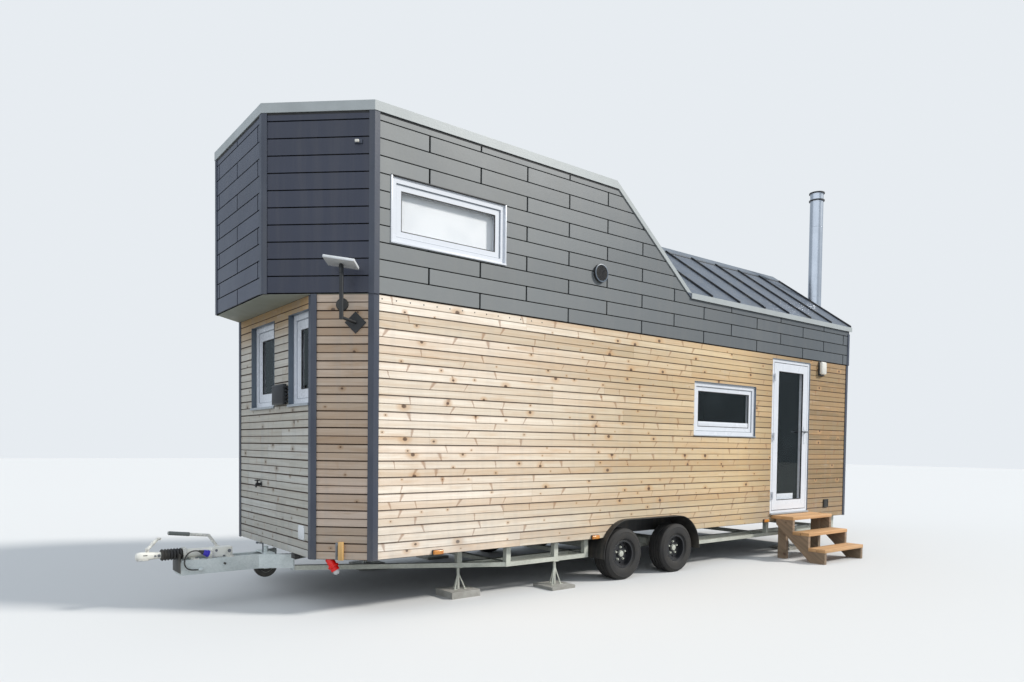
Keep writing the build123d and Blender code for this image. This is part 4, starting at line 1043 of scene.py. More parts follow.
    def bolt(self, place: Spot, way: Spot, size: float = 9.0, height: float = 6.0, material: int = 0) -> None:
        """Add a hexagon head with its washer.

        Args:
            place: where it sits, in millimetres of the datum.
            way: the direction it points out.
            size: the head's radius, in millimetres.
            height: the head's height.
            material: the number of its material.
        """
        start = Vector(place)
        top, head = (start + Vector(way).normalized() * reach for reach in (1.5, height))
        self.rod(start, top, size * 1.35, steps=16, material=material)
        self.rod(top, head, size, steps=6, material=material)

    def ribs(self, foot: Vector, run: Vector, spoke: Vector, count: int, radius: float, steps: int) -> None:
        """Add rods round an axis.

        Args:
            foot: the place on the axis that they start beside, in millimetres of the datum.
            run: their run along the axis.
            spoke: where the first one stands off the axis.
            count: how many there are.
            radius: their radius.
            steps: how many sides they have.
        """
        for number in range(count):
            beside = foot + Matrix.Rotation(2 * math.pi * number / count, 3, run.normalized()) @ spoke
            self.rod(beside, beside + run, radius, steps=steps)

    def take(self, shape: bmesh.types.BMesh) -> None:
        """Add a finished shape, which is freed.

        Args:
            shape: the shape.
        """
        holder = bpy.data.meshes.new("holder")
        shape.to_mesh(holder)
        shape.free()
        self.bm.from_mesh(holder)
        bpy.data.meshes.remove(holder)

    def grain_layers(self) -> tuple:
        """The layers of the grain map and of the tone; the first call makes them, before any face.

        Returns:
            The grain map's layer and the tone's layer.
        """
        uv = self.bm.loops.layers.uv.get("grain") or self.bm.loops.layers.uv.new("grain")
        tone = self.bm.faces.layers.float.get("tone") or self.bm.faces.layers.float.new("tone")
        return uv, tone

    def grain(self, faces: Iterable, run: Run) -> None:
        """Write the grain map along an axis and one tone on faces.

        Args:
            faces: the faces.
            run: the axis that the grain follows.
        """
        uv, layer = self.grain_layers()
        tone = self.chance.random()
        shift = self.chance.random() * 9
        others = [number for number in range(3) if number != run.value]
        for face in faces:
            face[layer] = tone
            flat = max(others, key=lambda number: abs(face.normal[number]))
            across = others[0] if flat == others[1] else others[1]
            for loop in face.loops:
                place = loop.vert.co
                loop[uv].uv = (place[run.value] + shift, place[across] + shift)

    def turn(self, faces: Iterable, angle: float, centre: Spot) -> None:
        """Turn faces by an angle in degrees about a line along x through a place in millimetres.

        Args:
            faces: the faces.
            angle: how far.
            centre: a place on the line.
        """
        verts = list({vert for face in faces for vert in face.verts})
        matrix = Matrix.Rotation(math.radians(angle), 3, "X")
        bmesh.ops.rotate(self.bm, cent=at(*centre), matrix=matrix, verts=verts)

    def done(
        self, finishes: str, slot: str, body: str = "house", replaces: str | None = None, angle: float = 35.0
    ) -> Object:
        """Turn the mesh into a piece that rides on a body.

        Args:
            finishes: the names of its finishes in order.
            slot: the record's slot; not used.
            body: the body that it moves with.
            replaces: the node that it stands for.
            angle: edges that turn less than this are smooth, in degrees.

        Returns:
            The piece.
        """
        bmesh.ops.recalc_face_normals(self.bm, faces=self.bm.faces[:])
        limit = math.radians(angle)
        for edge in self.bm.edges:
            edge.smooth = len(edge.link_faces) == 2 and edge.calc_face_angle(math.pi) < limit
        for face in self.bm.faces:
            face.smooth = True
        mesh = bpy.data.meshes.new(self.name)
        self.bm.to_mesh(mesh)
        self.bm.free()
        for finish in finishes.split():
            mesh.materials.append(PALETTE[finish])
        piece = placed(self.name, mesh)
        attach(piece, body)
        if replaces:
            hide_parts(replaces)
        LOG.info("%s: %d faces on %s", self.name, len(mesh.polygons), body)
        return piece


def dress(node: str, finish: str) -> None:
    """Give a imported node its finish.

    Args:
        node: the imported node's name.
        finish: the finish's name.
    """
    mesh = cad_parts[node].data
    mesh.materials.clear()
    mesh.materials.append(PALETTE[finish])
    LOG.info("%s dressed in %s", node, finish)


def carve(target: bmesh.types.BMesh, cuts: Sequence[Cut]) -> bmesh.types.BMesh:
    """Cut prisms out of closed shapes.

    Args:
        target: the shapes, which are freed.
        cuts: what is cut away, as outlines and runs in the shared frame.

    Returns:
        The shapes with the prisms cut away.
    """
    if not cuts:
        return target
    knife = Maker("knife")
    for cut in cuts:
        knife.prism(*cut)
    things = []
    for shape in (target, knife.bm):
        bmesh.ops.recalc_face_normals(shape, faces=shape.faces[:])
        mesh = bpy.data.meshes.new("carved")
        shape.to_mesh(mesh)
        shape.free()
        things.append(placed("carved", mesh))
    modifier = things[0].modifiers.new("cut", "BOOLEAN")
    modifier.object = things[1]
    modifier.operation = "DIFFERENCE"
    modifier.solver = "EXACT"
    graph = bpy.context.evaluated_depsgraph_get()
    mesh = bpy.data.meshes.new_from_object(things[0].evaluated_get(graph))
    result = bmesh.new()
    result.from_mesh(mesh)
    for thing in things:
        bpy.data.objects.remove(thing)
    bpy.data.meshes.remove(mesh)
    return result


@dataclass
class WallFace:
    """One upright outer face of the body that boards run along."""

    start: Span
    end: Span
    low: float = 440.0
    high: float = 2507.0
    seed: int = 1
    first_joint: float = 0.0

    def __post_init__(self) -> None:
        """Work out the face's directions; out is away from the middle of the house."""
        run = Vector((self.end[0] - self.start[0], self.end[1] - self.start[1], 0.0))
        self.length = run.length
        self.run = run.normalized()
        out = Vector((self.run.y, -self.run.x, 0.0))
        away = Vector((self.start[0] - 3600, self.start[1], 0.0))
        self.outward = out if out.dot(away) > 0 else -out

    def spot(self, along: float, out: float, height: float) -> Vector:
        """A place on the face, in the shared frame.

        Args:
            along: how far along the face, in millimetres.
            out: how far out of it.
            height: the height over the ground.

        Returns:
            The place.
        """
        place = Vector((*self.start, 0.0)) + self.run * along + self.outward * out
        return at(place.x, place.y, height)


NEAR = WallFace((0, -1210), (7230, -1210))
FRONT = WallFace((-360, 871.8), (-360, -871.8))
SLANTED = WallFace((-360, -871.8), (0, -1210))
LOFT_SLANTED = WallFace((-655, -608), (-4, -1220))
LOFT_FRONT = WallFace((-655, 608), (-655, -608))


@dataclass
class Boarding:
    """A way of covering a face with horizontal boards."""

    pitch: float
    depth: float
    gap: float
    ease: float
    slot: str
    middle_groove: float = 0.0
    joint_gap: float = 1.6

    def section(self, low: float, high: float) -> list[Span]:
        """Outline of a board as (out, height), from its back round its face.

        Args:
            low: the board's lower edge.
            high: its upper edge.

        Returns:
            The outline.
        """
        base, ease, back = low + self.gap, self.ease, -self.depth
        outline = [(back, base), (-ease, base), (0.0, base + ease)]
        middle = (low + high) / 2
        if self.middle_groove and high - low > self.pitch * 0.9:
            groove = self.middle_groove
            outline += [(0.0, middle - groove), (-groove * 1.4, middle), (0.0, middle + groove)]
        return outline + [(0.0, high - ease), (-ease, high), (back, high)]

    def joints(self, face: WallFace, row: int) -> list[float]:
        """Places along a face where the boards of a row meet end to end."""
        raise NotImplementedError(face, row)

    def cover(self, face: WallFace) -> bmesh.types.BMesh:
        """All boards of a face, as closed shapes.

        Args:
            face: the face of a wall.

        Returns:
            The boards.
        """
        maker = Maker("boards")
        for row in range(math.ceil((face.high - face.low) / self.pitch - 0.02)):
            low = face.low + row * self.pitch
            high = min(low + self.pitch, face.high)
            stops = [0.0, *self.joints(face, row), face.length]
            for start, end in zip(stops, stops[1:]):
                near = start + (self.joint_gap / 2 if start > 0 else 0)
                far = end - (self.joint_gap / 2 if end < face.length else 0)
                corners = [face.spot(near, out, height) for out, height in self.section(low, high)]
                maker.prism(corners, face.run * (far - near) / 1000)
        return maker.bm

    def mark(self, shape: bmesh.types.BMesh, face: WallFace) -> None:
        """Write the grain map and each board's tone on the boards of a face, after they are cut.

        Args:
            shape: the boards.
            face: the face that they cover.
        """
        uv = shape.loops.layers.uv.new("grain")
        layer = shape.faces.layers.float.new("tone")
        origin = face.spot(0, 0, 0)
        for item in shape.faces:
            centre = item.calc_center_median()
            row = math.floor((centre.z * 1000 - face.low) / self.pitch)
            along = (centre - origin).dot(face.run) * 1000
            number = sum(along > joint for joint in self.joints(face, row))
            chance = random.Random(face.seed * 10007 + row * 101 + number)
            item[layer] = chance.random()
            shift = chance.random() * 20
            for loop in item.loops:
                loop[uv].uv = ((loop.vert.co - origin).dot(face.run) + shift, loop.vert.co.z)


@dataclass
class TimberBoarding(Boarding):
    """Double profile boards whose joints fall where the lengths ran out."""

    pitch: float = 2067 / 16
    depth: float = 18.0
    gap: float = 4.0
    ease: float = 3.2
    slot: str = "timber"
    middle_groove: float = 4.2
    shortest: float = 220.0

    def joints(self, face: WallFace, row: int) -> list[float]:
        """Seeded random joints, and none on a narrow face.

        Args:
            face: the face of a wall.
            row: the row's number.

        Returns:
            The joints' places along the face.
        """
        if face.length < 1600:
            return []
        chance = random.Random(face.seed * 977 + row)
        reach = 2600.0 if face.length > 2600 else 700.0
        place = self.shortest + chance.random() * reach * 1.4
        found = []
        while place < face.length - self.shortest:
            found.append(place)
            place += reach + chance.random() * reach * 0.7
        return found


@dataclass
class SidingBoarding(Boarding):
    """Smooth dark boards in a half bond, with open joints."""

    pitch: float = 131.8
    depth: float = 12.0
    gap: float = 9.0
    ease: float = 0.8
    slot: str = "siding"
    joint_gap: float = 17.0
    board_length: float = 1015.0
    shortest: float = 40.0

    def joints(self, face: WallFace, row: int) -> list[float]:
        """Joints a board apart, shifted half a board in every second row, and none on a narrow face.

        Args:
            face: the face of a wall.
            row: the row's number.

        Returns:
            The joints' places along the face.
        """
        if face.length < 1000:
            return []
        place = face.first_joint + (self.board_length / 2 if row % 2 == 0 else 0)
        place -= self.board_length * math.floor(place / self.board_length)
        found = []
        while place < face.length - self.shortest:
            if place > self.shortest:
                found.append(place)
            place += self.board_length
        return found


@dataclass
class CladWall:
    """A packed wall whose outer skin is boards over a dark lining."""

    node: str
    finish: str
    boarding: Boarding
    faces: Sequence[WallFace]
    cuts: Sequence[Cut] = ()

    def lining(self) -> bmesh.types.BMesh:
        """The wall behind its boards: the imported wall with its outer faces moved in.

        Returns:
            The closed shape.
        """
        shape = bmesh.new()
        shape.from_mesh(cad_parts[self.node].data)
        bmesh.ops.remove_doubles(shape, verts=shape.verts[:], dist=1e-5)
        for vert in shape.verts:
            for face in self.faces:
                if (vert.co - face.spot(0, 0, 0)).dot(face.outward) > -0.0008:
                    vert.co -= face.outward * (self.boarding.depth / 1000)
                    break
        return shape

    def build(self) -> None:
        """Make the wall's piece: its boards face by face, then its lining."""
        maker = Maker("clad_" + self.node)
        for face in self.faces:
            shape = carve(self.boarding.cover(face), self.cuts)
            self.boarding.mark(shape, face)
            maker.take(shape)
        before = set(maker.bm.faces)
        maker.take(self.lining())
        maker.fresh(before, 1)
        lining = "lining" if self.boarding.slot == "timber" else "siding_lining"
        maker.done(f"{self.finish} {lining}", self.boarding.slot, replaces=self.node, angle=20.0)


@dataclass
class HouseWalls:
    """The house's walls: timber boards below, dark siding above."""

    half: float = 1210.0
    length: float = 7230.0
    timber_top: float = 2507.0
    loft_top: float = 3893.0
    eave: float = 2978.0
    slope: Span = (2650.0, 3800.0)
    nose: float = 360.0
    guard: tuple[float, float, float] = (2475.0, 3960.0, 618.0)
    guard_corner: float = 355.0
    guard_room: float = 0.5
    door: Span = (5420.0, 6270.0)
    front_windows: tuple[Span, ...] = ((225, 585), (-614.97, 430))
    vent: tuple[float, float, float] = (2416.0, 3030.0, 88.0)
    first_joint: float = 485.0

    def cut(self, spots: Iterable[Span], side: int) -> Cut:
        """A prism through a long wall: an outline of (x, z) on the door's side, -1, or on the far one, 1."""
        return [at(x, side * 1100, z) for x, z in spots], Vector((0, side * 0.4, 0))

    def through(self, x: Span, z: Span, side: int) -> Cut:
        """A square hole through a long wall, between two places along it and two heights."""
        return self.cut([(x[0], z[0]), (x[1], z[0]), (x[1], z[1]), (x[0], z[1])], side)

    def arc(self, x: float, z: float, radius: float, first: float, count: int) -> list[Span]:
        """Places 7.5 degrees apart round a middle, from a first angle, as (x, z)."""
        angles = [math.radians(first + step * 7.5) for step in range(count)]
        return [(x + radius * math.cos(angle), z + radius * math.sin(angle)) for angle in angles]

    def arch(self, side: int) -> Cut:
        """The mudguard's outline through a long wall, with a little room round it.

        Args:
            side: -1 for the near wall, 1 for the far one.

        Returns:
            The cut.
        """
        start, end, top = self.guard[0] - self.guard_room, self.guard[1] + self.guard_room, self.guard[2]
        radius = self.guard_corner + self.guard_room
        level = top + self.guard_room - radius
        corners = self.arc(end - radius, level, radius, 0, 13) + self.arc(start + radius, level, radius, 90, 13)
        return self.cut([(start, 200), (end, 200), *corners], side)

    def over_slope(self, side: int) -> Cut:
        """Everything over the loft's slanted edge and the low eave.

        Args:
            side: -1 for the near wall, 1 for the far one.

        Returns:
            The cut.
        """
        start, foot = self.slope
        outline = [(start, self.loft_top), (foot, self.eave), (9000, self.eave), (9000, 5000), (start, 5000)]
        return self.cut(outline, side)

    def over_gable(self) -> Cut:
        """Everything over the rear gable's two edges.

        Returns:
            The cut.
        """
        low, high = self.eave - 890, self.eave + 890
        spots = [(-2440, low), (0, high), (2440, low), (2440, 6000), (-2440, 6000)]
        return [at(7000, y, z) for y, z in spots], Vector((0.6, 0, 0))

    def window(self, middle: float, width: float) -> Cut:
        """A front window's hole, from its middle and its width across.

        Args:
            middle: its middle across the house.
            width: its width.

        Returns:
            The cut.
        """
        first, last = middle - width / 2, middle + width / 2
        spots = [(first, 1665), (last, 1665), (last, 2405), (first, 2405)]
        return [at(-600, y, z) for y, z in spots], Vector((0.5, 0, 0))

    def timber_face(self, start: Span, end: Span, seed: int) -> WallFace:
        """A face of the lower walls."""
        return WallFace(start, end, 440.0, self.timber_top, seed)

    def siding_face(self, start: Span, end: Span, seed: int, first_joint: float = 0.0) -> WallFace:
        """A face of the upper walls."""
        return WallFace(start, end, self.timber_top, self.loft_top, seed, first_joint)

    def timber_walls(self) -> list[CladWall]:
        """The lower walls.

        Returns:
            The walls in order.
        """
        half, end, nose, nose_half = self.half, self.length, -self.nose, back(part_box("front_wall")[1]).y
        door_start, door_end = self.door
        near_cuts = [self.through((3910, 5070), (1490, 2085), -1), self.arch(-1)]
        doorway = [self.through(self.door, (540, 2460), -1)]
        windows = [self.window(*window) for window in self.front_windows]
        rows = (
            ("near_wall_front", "near", [((0, -half), (door_start, -half), 3)], near_cuts),
            ("doorway_panels", "near", [((door_start, -half), (door_end, -half), 4)], doorway),
            ("near_wall_rear", "near", [((door_end, -half), (end, -half), 5)], ()),
            ("far_wall", "near", [((0, half), (end, half), 6)], [self.arch(1)]),
            ("rear_wall", "rear", [((end, -half), (end, half), 7)], ()),
            ("front_wall", "front", [((nose, nose_half), (nose, -nose_half), 8)], windows),
            ("front_chamfer_walls", "slanted",
             [((nose, -nose_half), (0, -half), 9), ((nose, nose_half), (0, half), 10)], ()),
        )
        return [
            CladWall(node, "timber_" + finish, TimberBoarding(), [self.timber_face(*face) for face in faces], cuts)
            for node, finish, faces, cuts in rows
        ]

    def siding_walls(self) -> list[CladWall]:
        """The upper walls.

        Returns:
            The walls in order.
        """
        nose, half = back(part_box("loft_front_wall")[0]).x, back(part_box("loft_front_wall")[1]).y
        low, high = (back(corner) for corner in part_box("near_wall_upper"))
        start, end, side = low.x, high.x, -low.y
        first = self.first_joint - start
        vent = self.cut(self.arc(*self.vent, 0, 48), -1)
        near_cuts = [self.through((140, 1260), (2925, 3440), -1), self.over_slope(-1), vent]
        rows = (
            ("near_wall_upper", "siding", [((start, -side), (end, -side), 11, first)], near_cuts),
            ("far_wall_upper", "siding", [((start, side), (end, side), 12, first)], [self.over_slope(1)]),
            ("rear_gable", "siding", [((end, -side), (end, side), 13, 200)], [self.over_gable()]),
            # The loft's front and slanted walls take darker, bluer copies of the siding: painted shade.
            ("loft_front_wall", "siding_nose", [((nose, half), (nose, -half), 14, 1121)], ()),
            ("loft_chamfer_walls", "siding_slanted",
             [((nose, -half), (start, -side), 15), ((nose, half), (start, side), 16)], ()),
        )
        return [
            CladWall(node, finish, SidingBoarding(), [self.siding_face(*face) for face in faces], cuts)
            for node, finish, faces, cuts in rows
        ]

    def build(self) -> None:
        """Clad every wall."""
        for wall in self.timber_walls() + self.siding_walls():
            wall.build()


@dataclass
class Wheel:
    """A tyre on its steel rim, with wheel nuts and a valve."""

    name: str
    place: float
    side: int
    radius: float = 262.0
    middle: float = 1139.0
    nuts: int = 5
    nut_circle: float = 66.0
    valve_circle: float = 112.0
    half_tread: tuple[Span, ...] = (
        (130, 71), (143, 75), (152, 84), (158, 90), (160, 94), (176, 98), (200, 99), (222, 97), (226, 99), (231, 96),
        (245, 88), (256, 82), (261, 74), (262, 58), (254, 57), (254, 50), (262, 49), (262, 22), (254, 21), (254, 13),
        (262, 12),
    )

    def spot(self, circle: float, angle: float, out: float) -> Spot:
        """A place on a circle about the axle, at an angle, so far out of the house's middle."""
        x, z = self.place + circle * math.cos(angle), self.radius + circle * math.sin(angle)
        return x, self.side * out, z

    def build(self) -> None:
        """Make the tyre, dress the rim, and add its small parts."""
        body, axis = "wheel_" + self.name, (0, self.side, 0)
        hub = (self.place, self.side * self.middle, self.radius)
        tyre = Maker("tyre_detail_" + self.name)
        mirrored = [(radius, -place) for radius, place in reversed(self.half_tread)]
        tyre.lathe([*self.half_tread, *mirrored], hub, axis, 96)
        tyre.done("tyre_rubber", "tyre", body, "tyre_" + self.name, 28.0)
        dress("rim_" + self.name, "rim_steel")
        small = Maker("wheel_nuts_" + self.name)
        face = self.middle + 30
        for number in range(self.nuts):
            angle = math.radians(90 + 360 / self.nuts * number)
            small.bolt(self.spot(self.nut_circle, angle, face), axis, 9.5, 15)
        small.rod(self.spot(self.valve_circle, 2.2, face - 4), self.spot(self.valve_circle, 2.2, face + 26), 4, 3, 12)
        for edge in (74.5, -77.5):
            lip = [(130, edge), (138, edge), (142, edge + 1.5), (142, edge + 3), (134, edge + 3)]
            small.lathe(lip, hub, axis, 72)
        small.lathe([(0.5, 30), (34, 30), (34, 44), (30, 52), (0.5, 54)], hub, axis, 40)
        small.done("galvanised", "rim", body)


@dataclass
class Glazing:
    """What the windows and the door carry beside their frames: gaskets, reveals, sills, a blind, and strips of
    painted shade.
    """

    frame_width: float = 48.0
    sash_width: float = 50.0
    sash_step: float = 12.0
    glass_step: float = 20.0
    side_window: tuple[Span, Span] = ((3910.0, 5070.0), (1490.0, 2085.0))
    loft_window: tuple[Span, Span] = ((140.0, 1260.0), (2925.0, 3440.0))
    front_windows: tuple[Span, ...] = ((354.3, 939.3), (1271.8, 1701.8))
    front_heights: Span = (1665.0, 2405.0)
    front_recess: float = 42.0
    front_bead: float = 30.0
    side_rail: float = 60.0
    door_glass: tuple[Span, Span] = ((5564.0, 6126.0), (704.0, 2316.0))
    doorway: tuple[Span, Span] = ((5420.0, 6270.0), (540.0, 2460.0))
    blind_size: Span = (1000.0, 400.0)
    pleat: float = 25.0
    fold: float = 0.35

    def gaskets(self) -> None:
        """Black seals round the glass, and a thin grey strip of painted shade for the gap between frame and sash."""
        maker = Maker("window_gaskets")
        windows = [(NEAR, *self.side_window, -15.0), (NEAR, *self.loft_window, 0.0)]
        windows += [(FRONT, along, self.front_heights, -self.front_recess) for along in self.front_windows]
        edge = self.frame_width + self.sash_width
        for face, along, height, out in windows:
            sash, glass = out - self.sash_step, out - self.glass_step
            bead = self.front_bead if face is FRONT else 0.0
            for inset, width, span, material in (
                # The grey ring between frame and sash is painted shade of the gap between them.
                (self.frame_width - 0.5, 7.0, (sash - 1, sash + 1), 1),
                (edge - 0.5 + bead, 8.0, (glass - 0.5, sash - 1.5), 0),
                (edge - 2.0, bead + 2.0, (glass - 0.5, sash - 3.0), 2),
            ):
                inner = [(low + inset, high - inset) for low, high in (along, height)]
                maker.ring(face, *inner, width, span, material)
        (start, end), (foot, _) = self.side_window
        foot += edge - 1
        maker.panel(NEAR, (start + edge - 1, end - edge + 1), (-35.5, -30.0), (foot, foot + self.side_rail), 2, 2)
        maker.done("gasket line_grey white_profile", "dark_trim")
        door = Maker("door_gasket")
        door.ring(NEAR, *self.door_glass, 8.0, (-19.5, -6.0))
        door.done("gasket", "dark_trim", "door")

    def reveals(self) -> None:
        """Sheet linings and sills round the openings, with strips of painted shade at the side window's right and top
        edges and at the loft window's top.
        """
        maker = Maker("window_reveals")
        low, high = self.front_heights
        deep = -self.front_recess
        for first, last in self.front_windows:
            maker.panels(
                FRONT,
                (first, first + 2.5, deep, 5.0, low, high, 0.8),
                (last - 2.5, last, deep, 5.0, low, high, 0.8),
                (first + 2.5, last - 2.5, deep, -3.0, high - 2.5, high, 0.8),
                (first + 2.5, last - 2.5, deep, 16.0, low, low + 4.0, 1, 1),
                (first - 3, last + 3, 1.0, 17.0, low - 16, low + 3.5, 1, 1),
            )
        (first, last), (low, high) = self.side_window
        maker.panels(
            NEAR,
            (first - 3, last + 3, -14.0, 14.0, low - 9, low + 3, 1, 1),
            # The strips at the right and the top of the side window are painted shade of its recess.
            (last - 2.5, last + 5, -14.0, 3.0, low, high, 0.8),
            (first, last, -14.0, 5.0, high - 2.5, high + 3, 0.8),
        )
        maker.done("reveal_sheet sill_metal", "dark_trim")
        (first, last), (low, high) = self.loft_window
        loft = Maker("loft_window_strips")
        loft.panels(
            NEAR,
            (first - 5, first + 9, -1.0, 17.0, low, high, 1.2),
            (last - 9, last + 5, -1.0, 17.0, low, high, 1.2),
            (first - 5, last + 5, -1.0, 20.0, low - 6, low + 9, 1.2),
            # The black strip along the top is painted shadow under the siding's edge.
            (first - 5, last + 5, -1.0, 15.0, high - 2, high + 7, 1.2, 1),
        )
        loft.done("white_profile gasket", "window_frame")

    def threshold(self) -> None:
        """The door's threshold and the edges of its opening, the right one a strip of painted shade for the gap
        beside the frame, and the rails behind the low glass.
        """
        (first, last), (low, high) = self.doorway
        maker = Maker("door_threshold")
        maker.panels(
            NEAR,
            (first - 4, last + 4, -5.0, 24.0, low - 10, low + 8, 1.5),
            *((first, last, 2.0 + rib * 5, 4.5 + rib * 5, low + 7, low + 10, 0.6) for rib in range(4)),
            # The strip at the right edge is painted shade of the gap between the door frame and the boards.
            (last - 3, last + 7, -5.0, 3.0, low + 8, high + 3, 0.8, 1),
            (first - 4, last - 3, -5.0, 6.0, high - 3, high + 4, 0.8, 1),
        )
        maker.done("sill_metal reveal_sheet", "dark_trim")
        rail = Maker("door_glass_rail")
        rail.panels(NEAR, (self.door_glass[0][0] + 8, self.door_glass[0][1] - 120, -56.0, -46.0, 706, 782, 2))
        rail.done("white_profile", "window_frame", "door")
        inner = Maker("side_window_inner_rail")
        inner.panels(NEAR, (4012, 4968, -88.0, -70.0, 1560, 1622, 3), (4012, 4968, -96.0, -70.0, 1560, 1570, 2))
        inner.done("white_profile", "window_frame")

    def blind(self) -> None:
        """The closed white blind behind the loft window."""
        width, drop = self.blind_size
        left, top = self.loft_window[0][0] + 60, self.loft_window[1][1] - 58
        rows = int(drop / self.pleat) * 2
        shape = Maker("loft_blind")
        for vert in bmesh.ops.create_grid(shape.bm, x_segments=12, y_segments=rows, size=0.5)["verts"]:
            share_x, share_z = vert.co.x + 0.5, vert.co.y + 0.5
            out = -62.0 + (self.fold if round(share_z * rows) % 2 else -self.fold)
            vert.co = NEAR.spot(left + share_x * width, out, top - share_z * drop)
        shape.bm.normal_update()
        bmesh.ops.solidify(shape.bm, geom=shape.bm.faces[:], thickness=0.0008)
        cloth = shape.done("blind_cloth", "window_frame", angle=10.0)
        rail = Maker("loft_blind_rail")
        rail.panels(
            NEAR,
            (left - 4, left + width + 4, -76.0, -50.0, top, top + 30, 3),
            (left, left + width, -69.0, -55.0, top - drop - 14, top - drop, 3),
        )
        rails = rail.done("white_profile", "window_frame")

    def build(self) -> None:
        """Make all of it."""
        self.gaskets()
        self.reveals()
        self.threshold()
        self.blind()


@dataclass
class WallFittings:
    """Small things on the walls: plates, tap, vents, sensor, lamp, inlet and the roof's lines."""

    number_box: Span = (986.8, 1266.8)
    bare_plate: Span = (1483.8, 1613.8)
    tap: Span = (262.0, 978.0)
    vent: tuple[float, float, float] = (2416.0, 3030.0, 87.0)
    inlet: tuple[float, float, float] = (6730.0, 625.0, 52.5)
    markers_at: tuple[float, ...] = (590, 2405, 5330)
    screws: int = 14
    inlet_start: Spot = (-235.0, -935.0, 440.0)
    inlet_way: Spot = (0.42, -0.42, -1.0)
    antenna_middle: Spot = (-261.0, -1185.5, 2708.5)
    antenna_sides: tuple[Spot, Spot] = ((186.0, -146.0, -32.0), (105.0, 134.0, -22.0))
    felt_laps: tuple[float, ...] = (-130, 560, 1250, 1940)

    def plates(self) -> None:
        """The bare plates and the wooden block with its catch."""
        start, end = self.number_box
        number = Maker("number_plate_box")
        number.panels(
            FRONT,
            (start, end - 14, 12.0, 42.0, 1672, 1842, 4),
            (start + 12, end - 26, 41.5, 44.0, 1684, 1830, 2, 1),
            *((start + 8, end, 0.5, 30.0, level, level + 14, 2) for level in range(1690, 1811, 30)),
        )
        number.done("black_metal plate_dark", "black_metal")
        plate = Maker("bare_plate")
        plate.panels(FRONT, (*self.bare_plate, 0.3, 4.0, 574, 690, 1.5))
        for height in (584.0, 680.0):
            for y in (-622.0, -732.0):
                plate.bolt((-364.0, y, height), (-1, 0, 0), 3.2, 2.6, 1)
        plate.done("white_plastic galvanised", "antenna_plastic")
        block = Maker("wood_block")
        block.grain_layers()
        block.grain(block.panel(SLANTED, (226, 266), (0.3, 30.0), (441, 584), 2.5), Run.UP)
        block.done("pale_plank", "step_timber")
        catch = Maker("wall_catch")
        catch.panels(SLANTED, (198, 220, 0.3, 5.0, 447, 577, 1.5), (203, 215, 4.0, 16.0, 470, 556, 4))
        catch.done("handle_steel", "lever_metal")

    def garden_tap(self) -> None:
        """The small tap on the front wall."""
        tap = Maker("garden_tap")
        y, z = self.tap
        tap.rods(
            ((-360.5, y, z), (-366, y, z), 22, None, 28),
            ((-366, y, z), (-410, y, z), 11),
            ((-396, y, z), (-396, y, z + 30), 8, None, 18),
        )
        tap.lathe([(7, 0), (25, 2), (27, 7), (22, 12), (7, 13)], (-396, y, z + 28), (0, 0, 1), 28)
        tap.rod((-407, y, z + 3), (-409, y, z - 30), 10, 8.5, 18)
        tap.done("black_metal", "black_metal")

    def vents(self) -> None:
        """Louvres on the round vent and the air inlet, and the small cap by the front window."""
        x, z, radius = self.vent
        maker = Maker("vent_louvres")
        rim = [(radius, 0), (radius, 5), (radius - 9, 7), (radius - 12, 4), (radius - 12, 0)]
        maker.lathe(rim, (x, -1242, z), (0, -1, 0), 64, 1)
        for row in range(-6, 7):
            half = math.sqrt(max((radius - 13) ** 2 - (row * 11.0) ** 2, 1.0))
            slat = maker.panel(NEAR, (x - half, x + half), (32.0, 34.5), (z + row * 11 - 5, z + row * 11 + 5), 0.8)
            maker.turn(slat, 32, (x, -1243, z + row * 11))
        maker.done("black_plastic reveal_sheet", "vent_plastic")
        x, z, half = self.inlet
        inlet = Maker("air_inlet_louvres")
        inlet.ring(NEAR, (x - half, x + half), (z - half, z + half), 9, (11.5, 16.0))
        for row in range(6):
            level = z - 36 + row * 14.4
            slat = inlet.panel(NEAR, (x - half + 9, x + half - 9), (12.0, 14.0), (level - 6, level + 6), 0.6)
            inlet.turn(slat, 28, (x, -1223, level))
        inlet.done("black_plastic", "vent_plastic")
        cap = Maker("round_cap")
        outline = [(0.5, 14), (30, 13), (46, 8), (50, 2), (50, 0.3), (0.5, 0.3)]
        cap.lathe(outline, back(SLANTED.spot(244, 0, 2424)), SLANTED.outward, 48)
        cap.done("black_plastic", "vent_plastic")
        sensor = Maker("light_sensor")
        sensor.panels(LOFT_SLANTED, (735, 797, 0.5, 10.0, 3642, 3676, 4), (743, 775, 9.0, 26.0, 3648, 3670, 5, 1))
        sensor.done("dark_trim lamp_glass", "dark_trim")

    def markers(self) -> None:
        """Oval amber marker lights on dark bases along both sides, and the cladding's screws."""
        maker = Maker("marker_lenses")
        for side in (-1, 1):
            for x in self.markers_at:
                for reach, inner, outer, low, high, bevel, material in (
                    (52, 1210.3, 1219, 440.5, 483.5, 3, 1),
                    (49, 1218, 1239, 443, 481, 10, 0),
                ):
                    first, last = sorted((side * inner, side * outer))
                    maker.box((x - reach, first, low), (x + reach, last, high), bevel, material, 4)
        maker.done("amber_plastic black_plastic", "amber_plastic", replaces="marker_lights")
        screws = Maker("cladding_screws")
        for x in range(70, 70 + self.screws * 125, 125):
            screws.rod((x, -1209.8, 2476), (x, -1210.9, 2476), 5.5, steps=10)
        screws.done("black_metal", "black_metal")

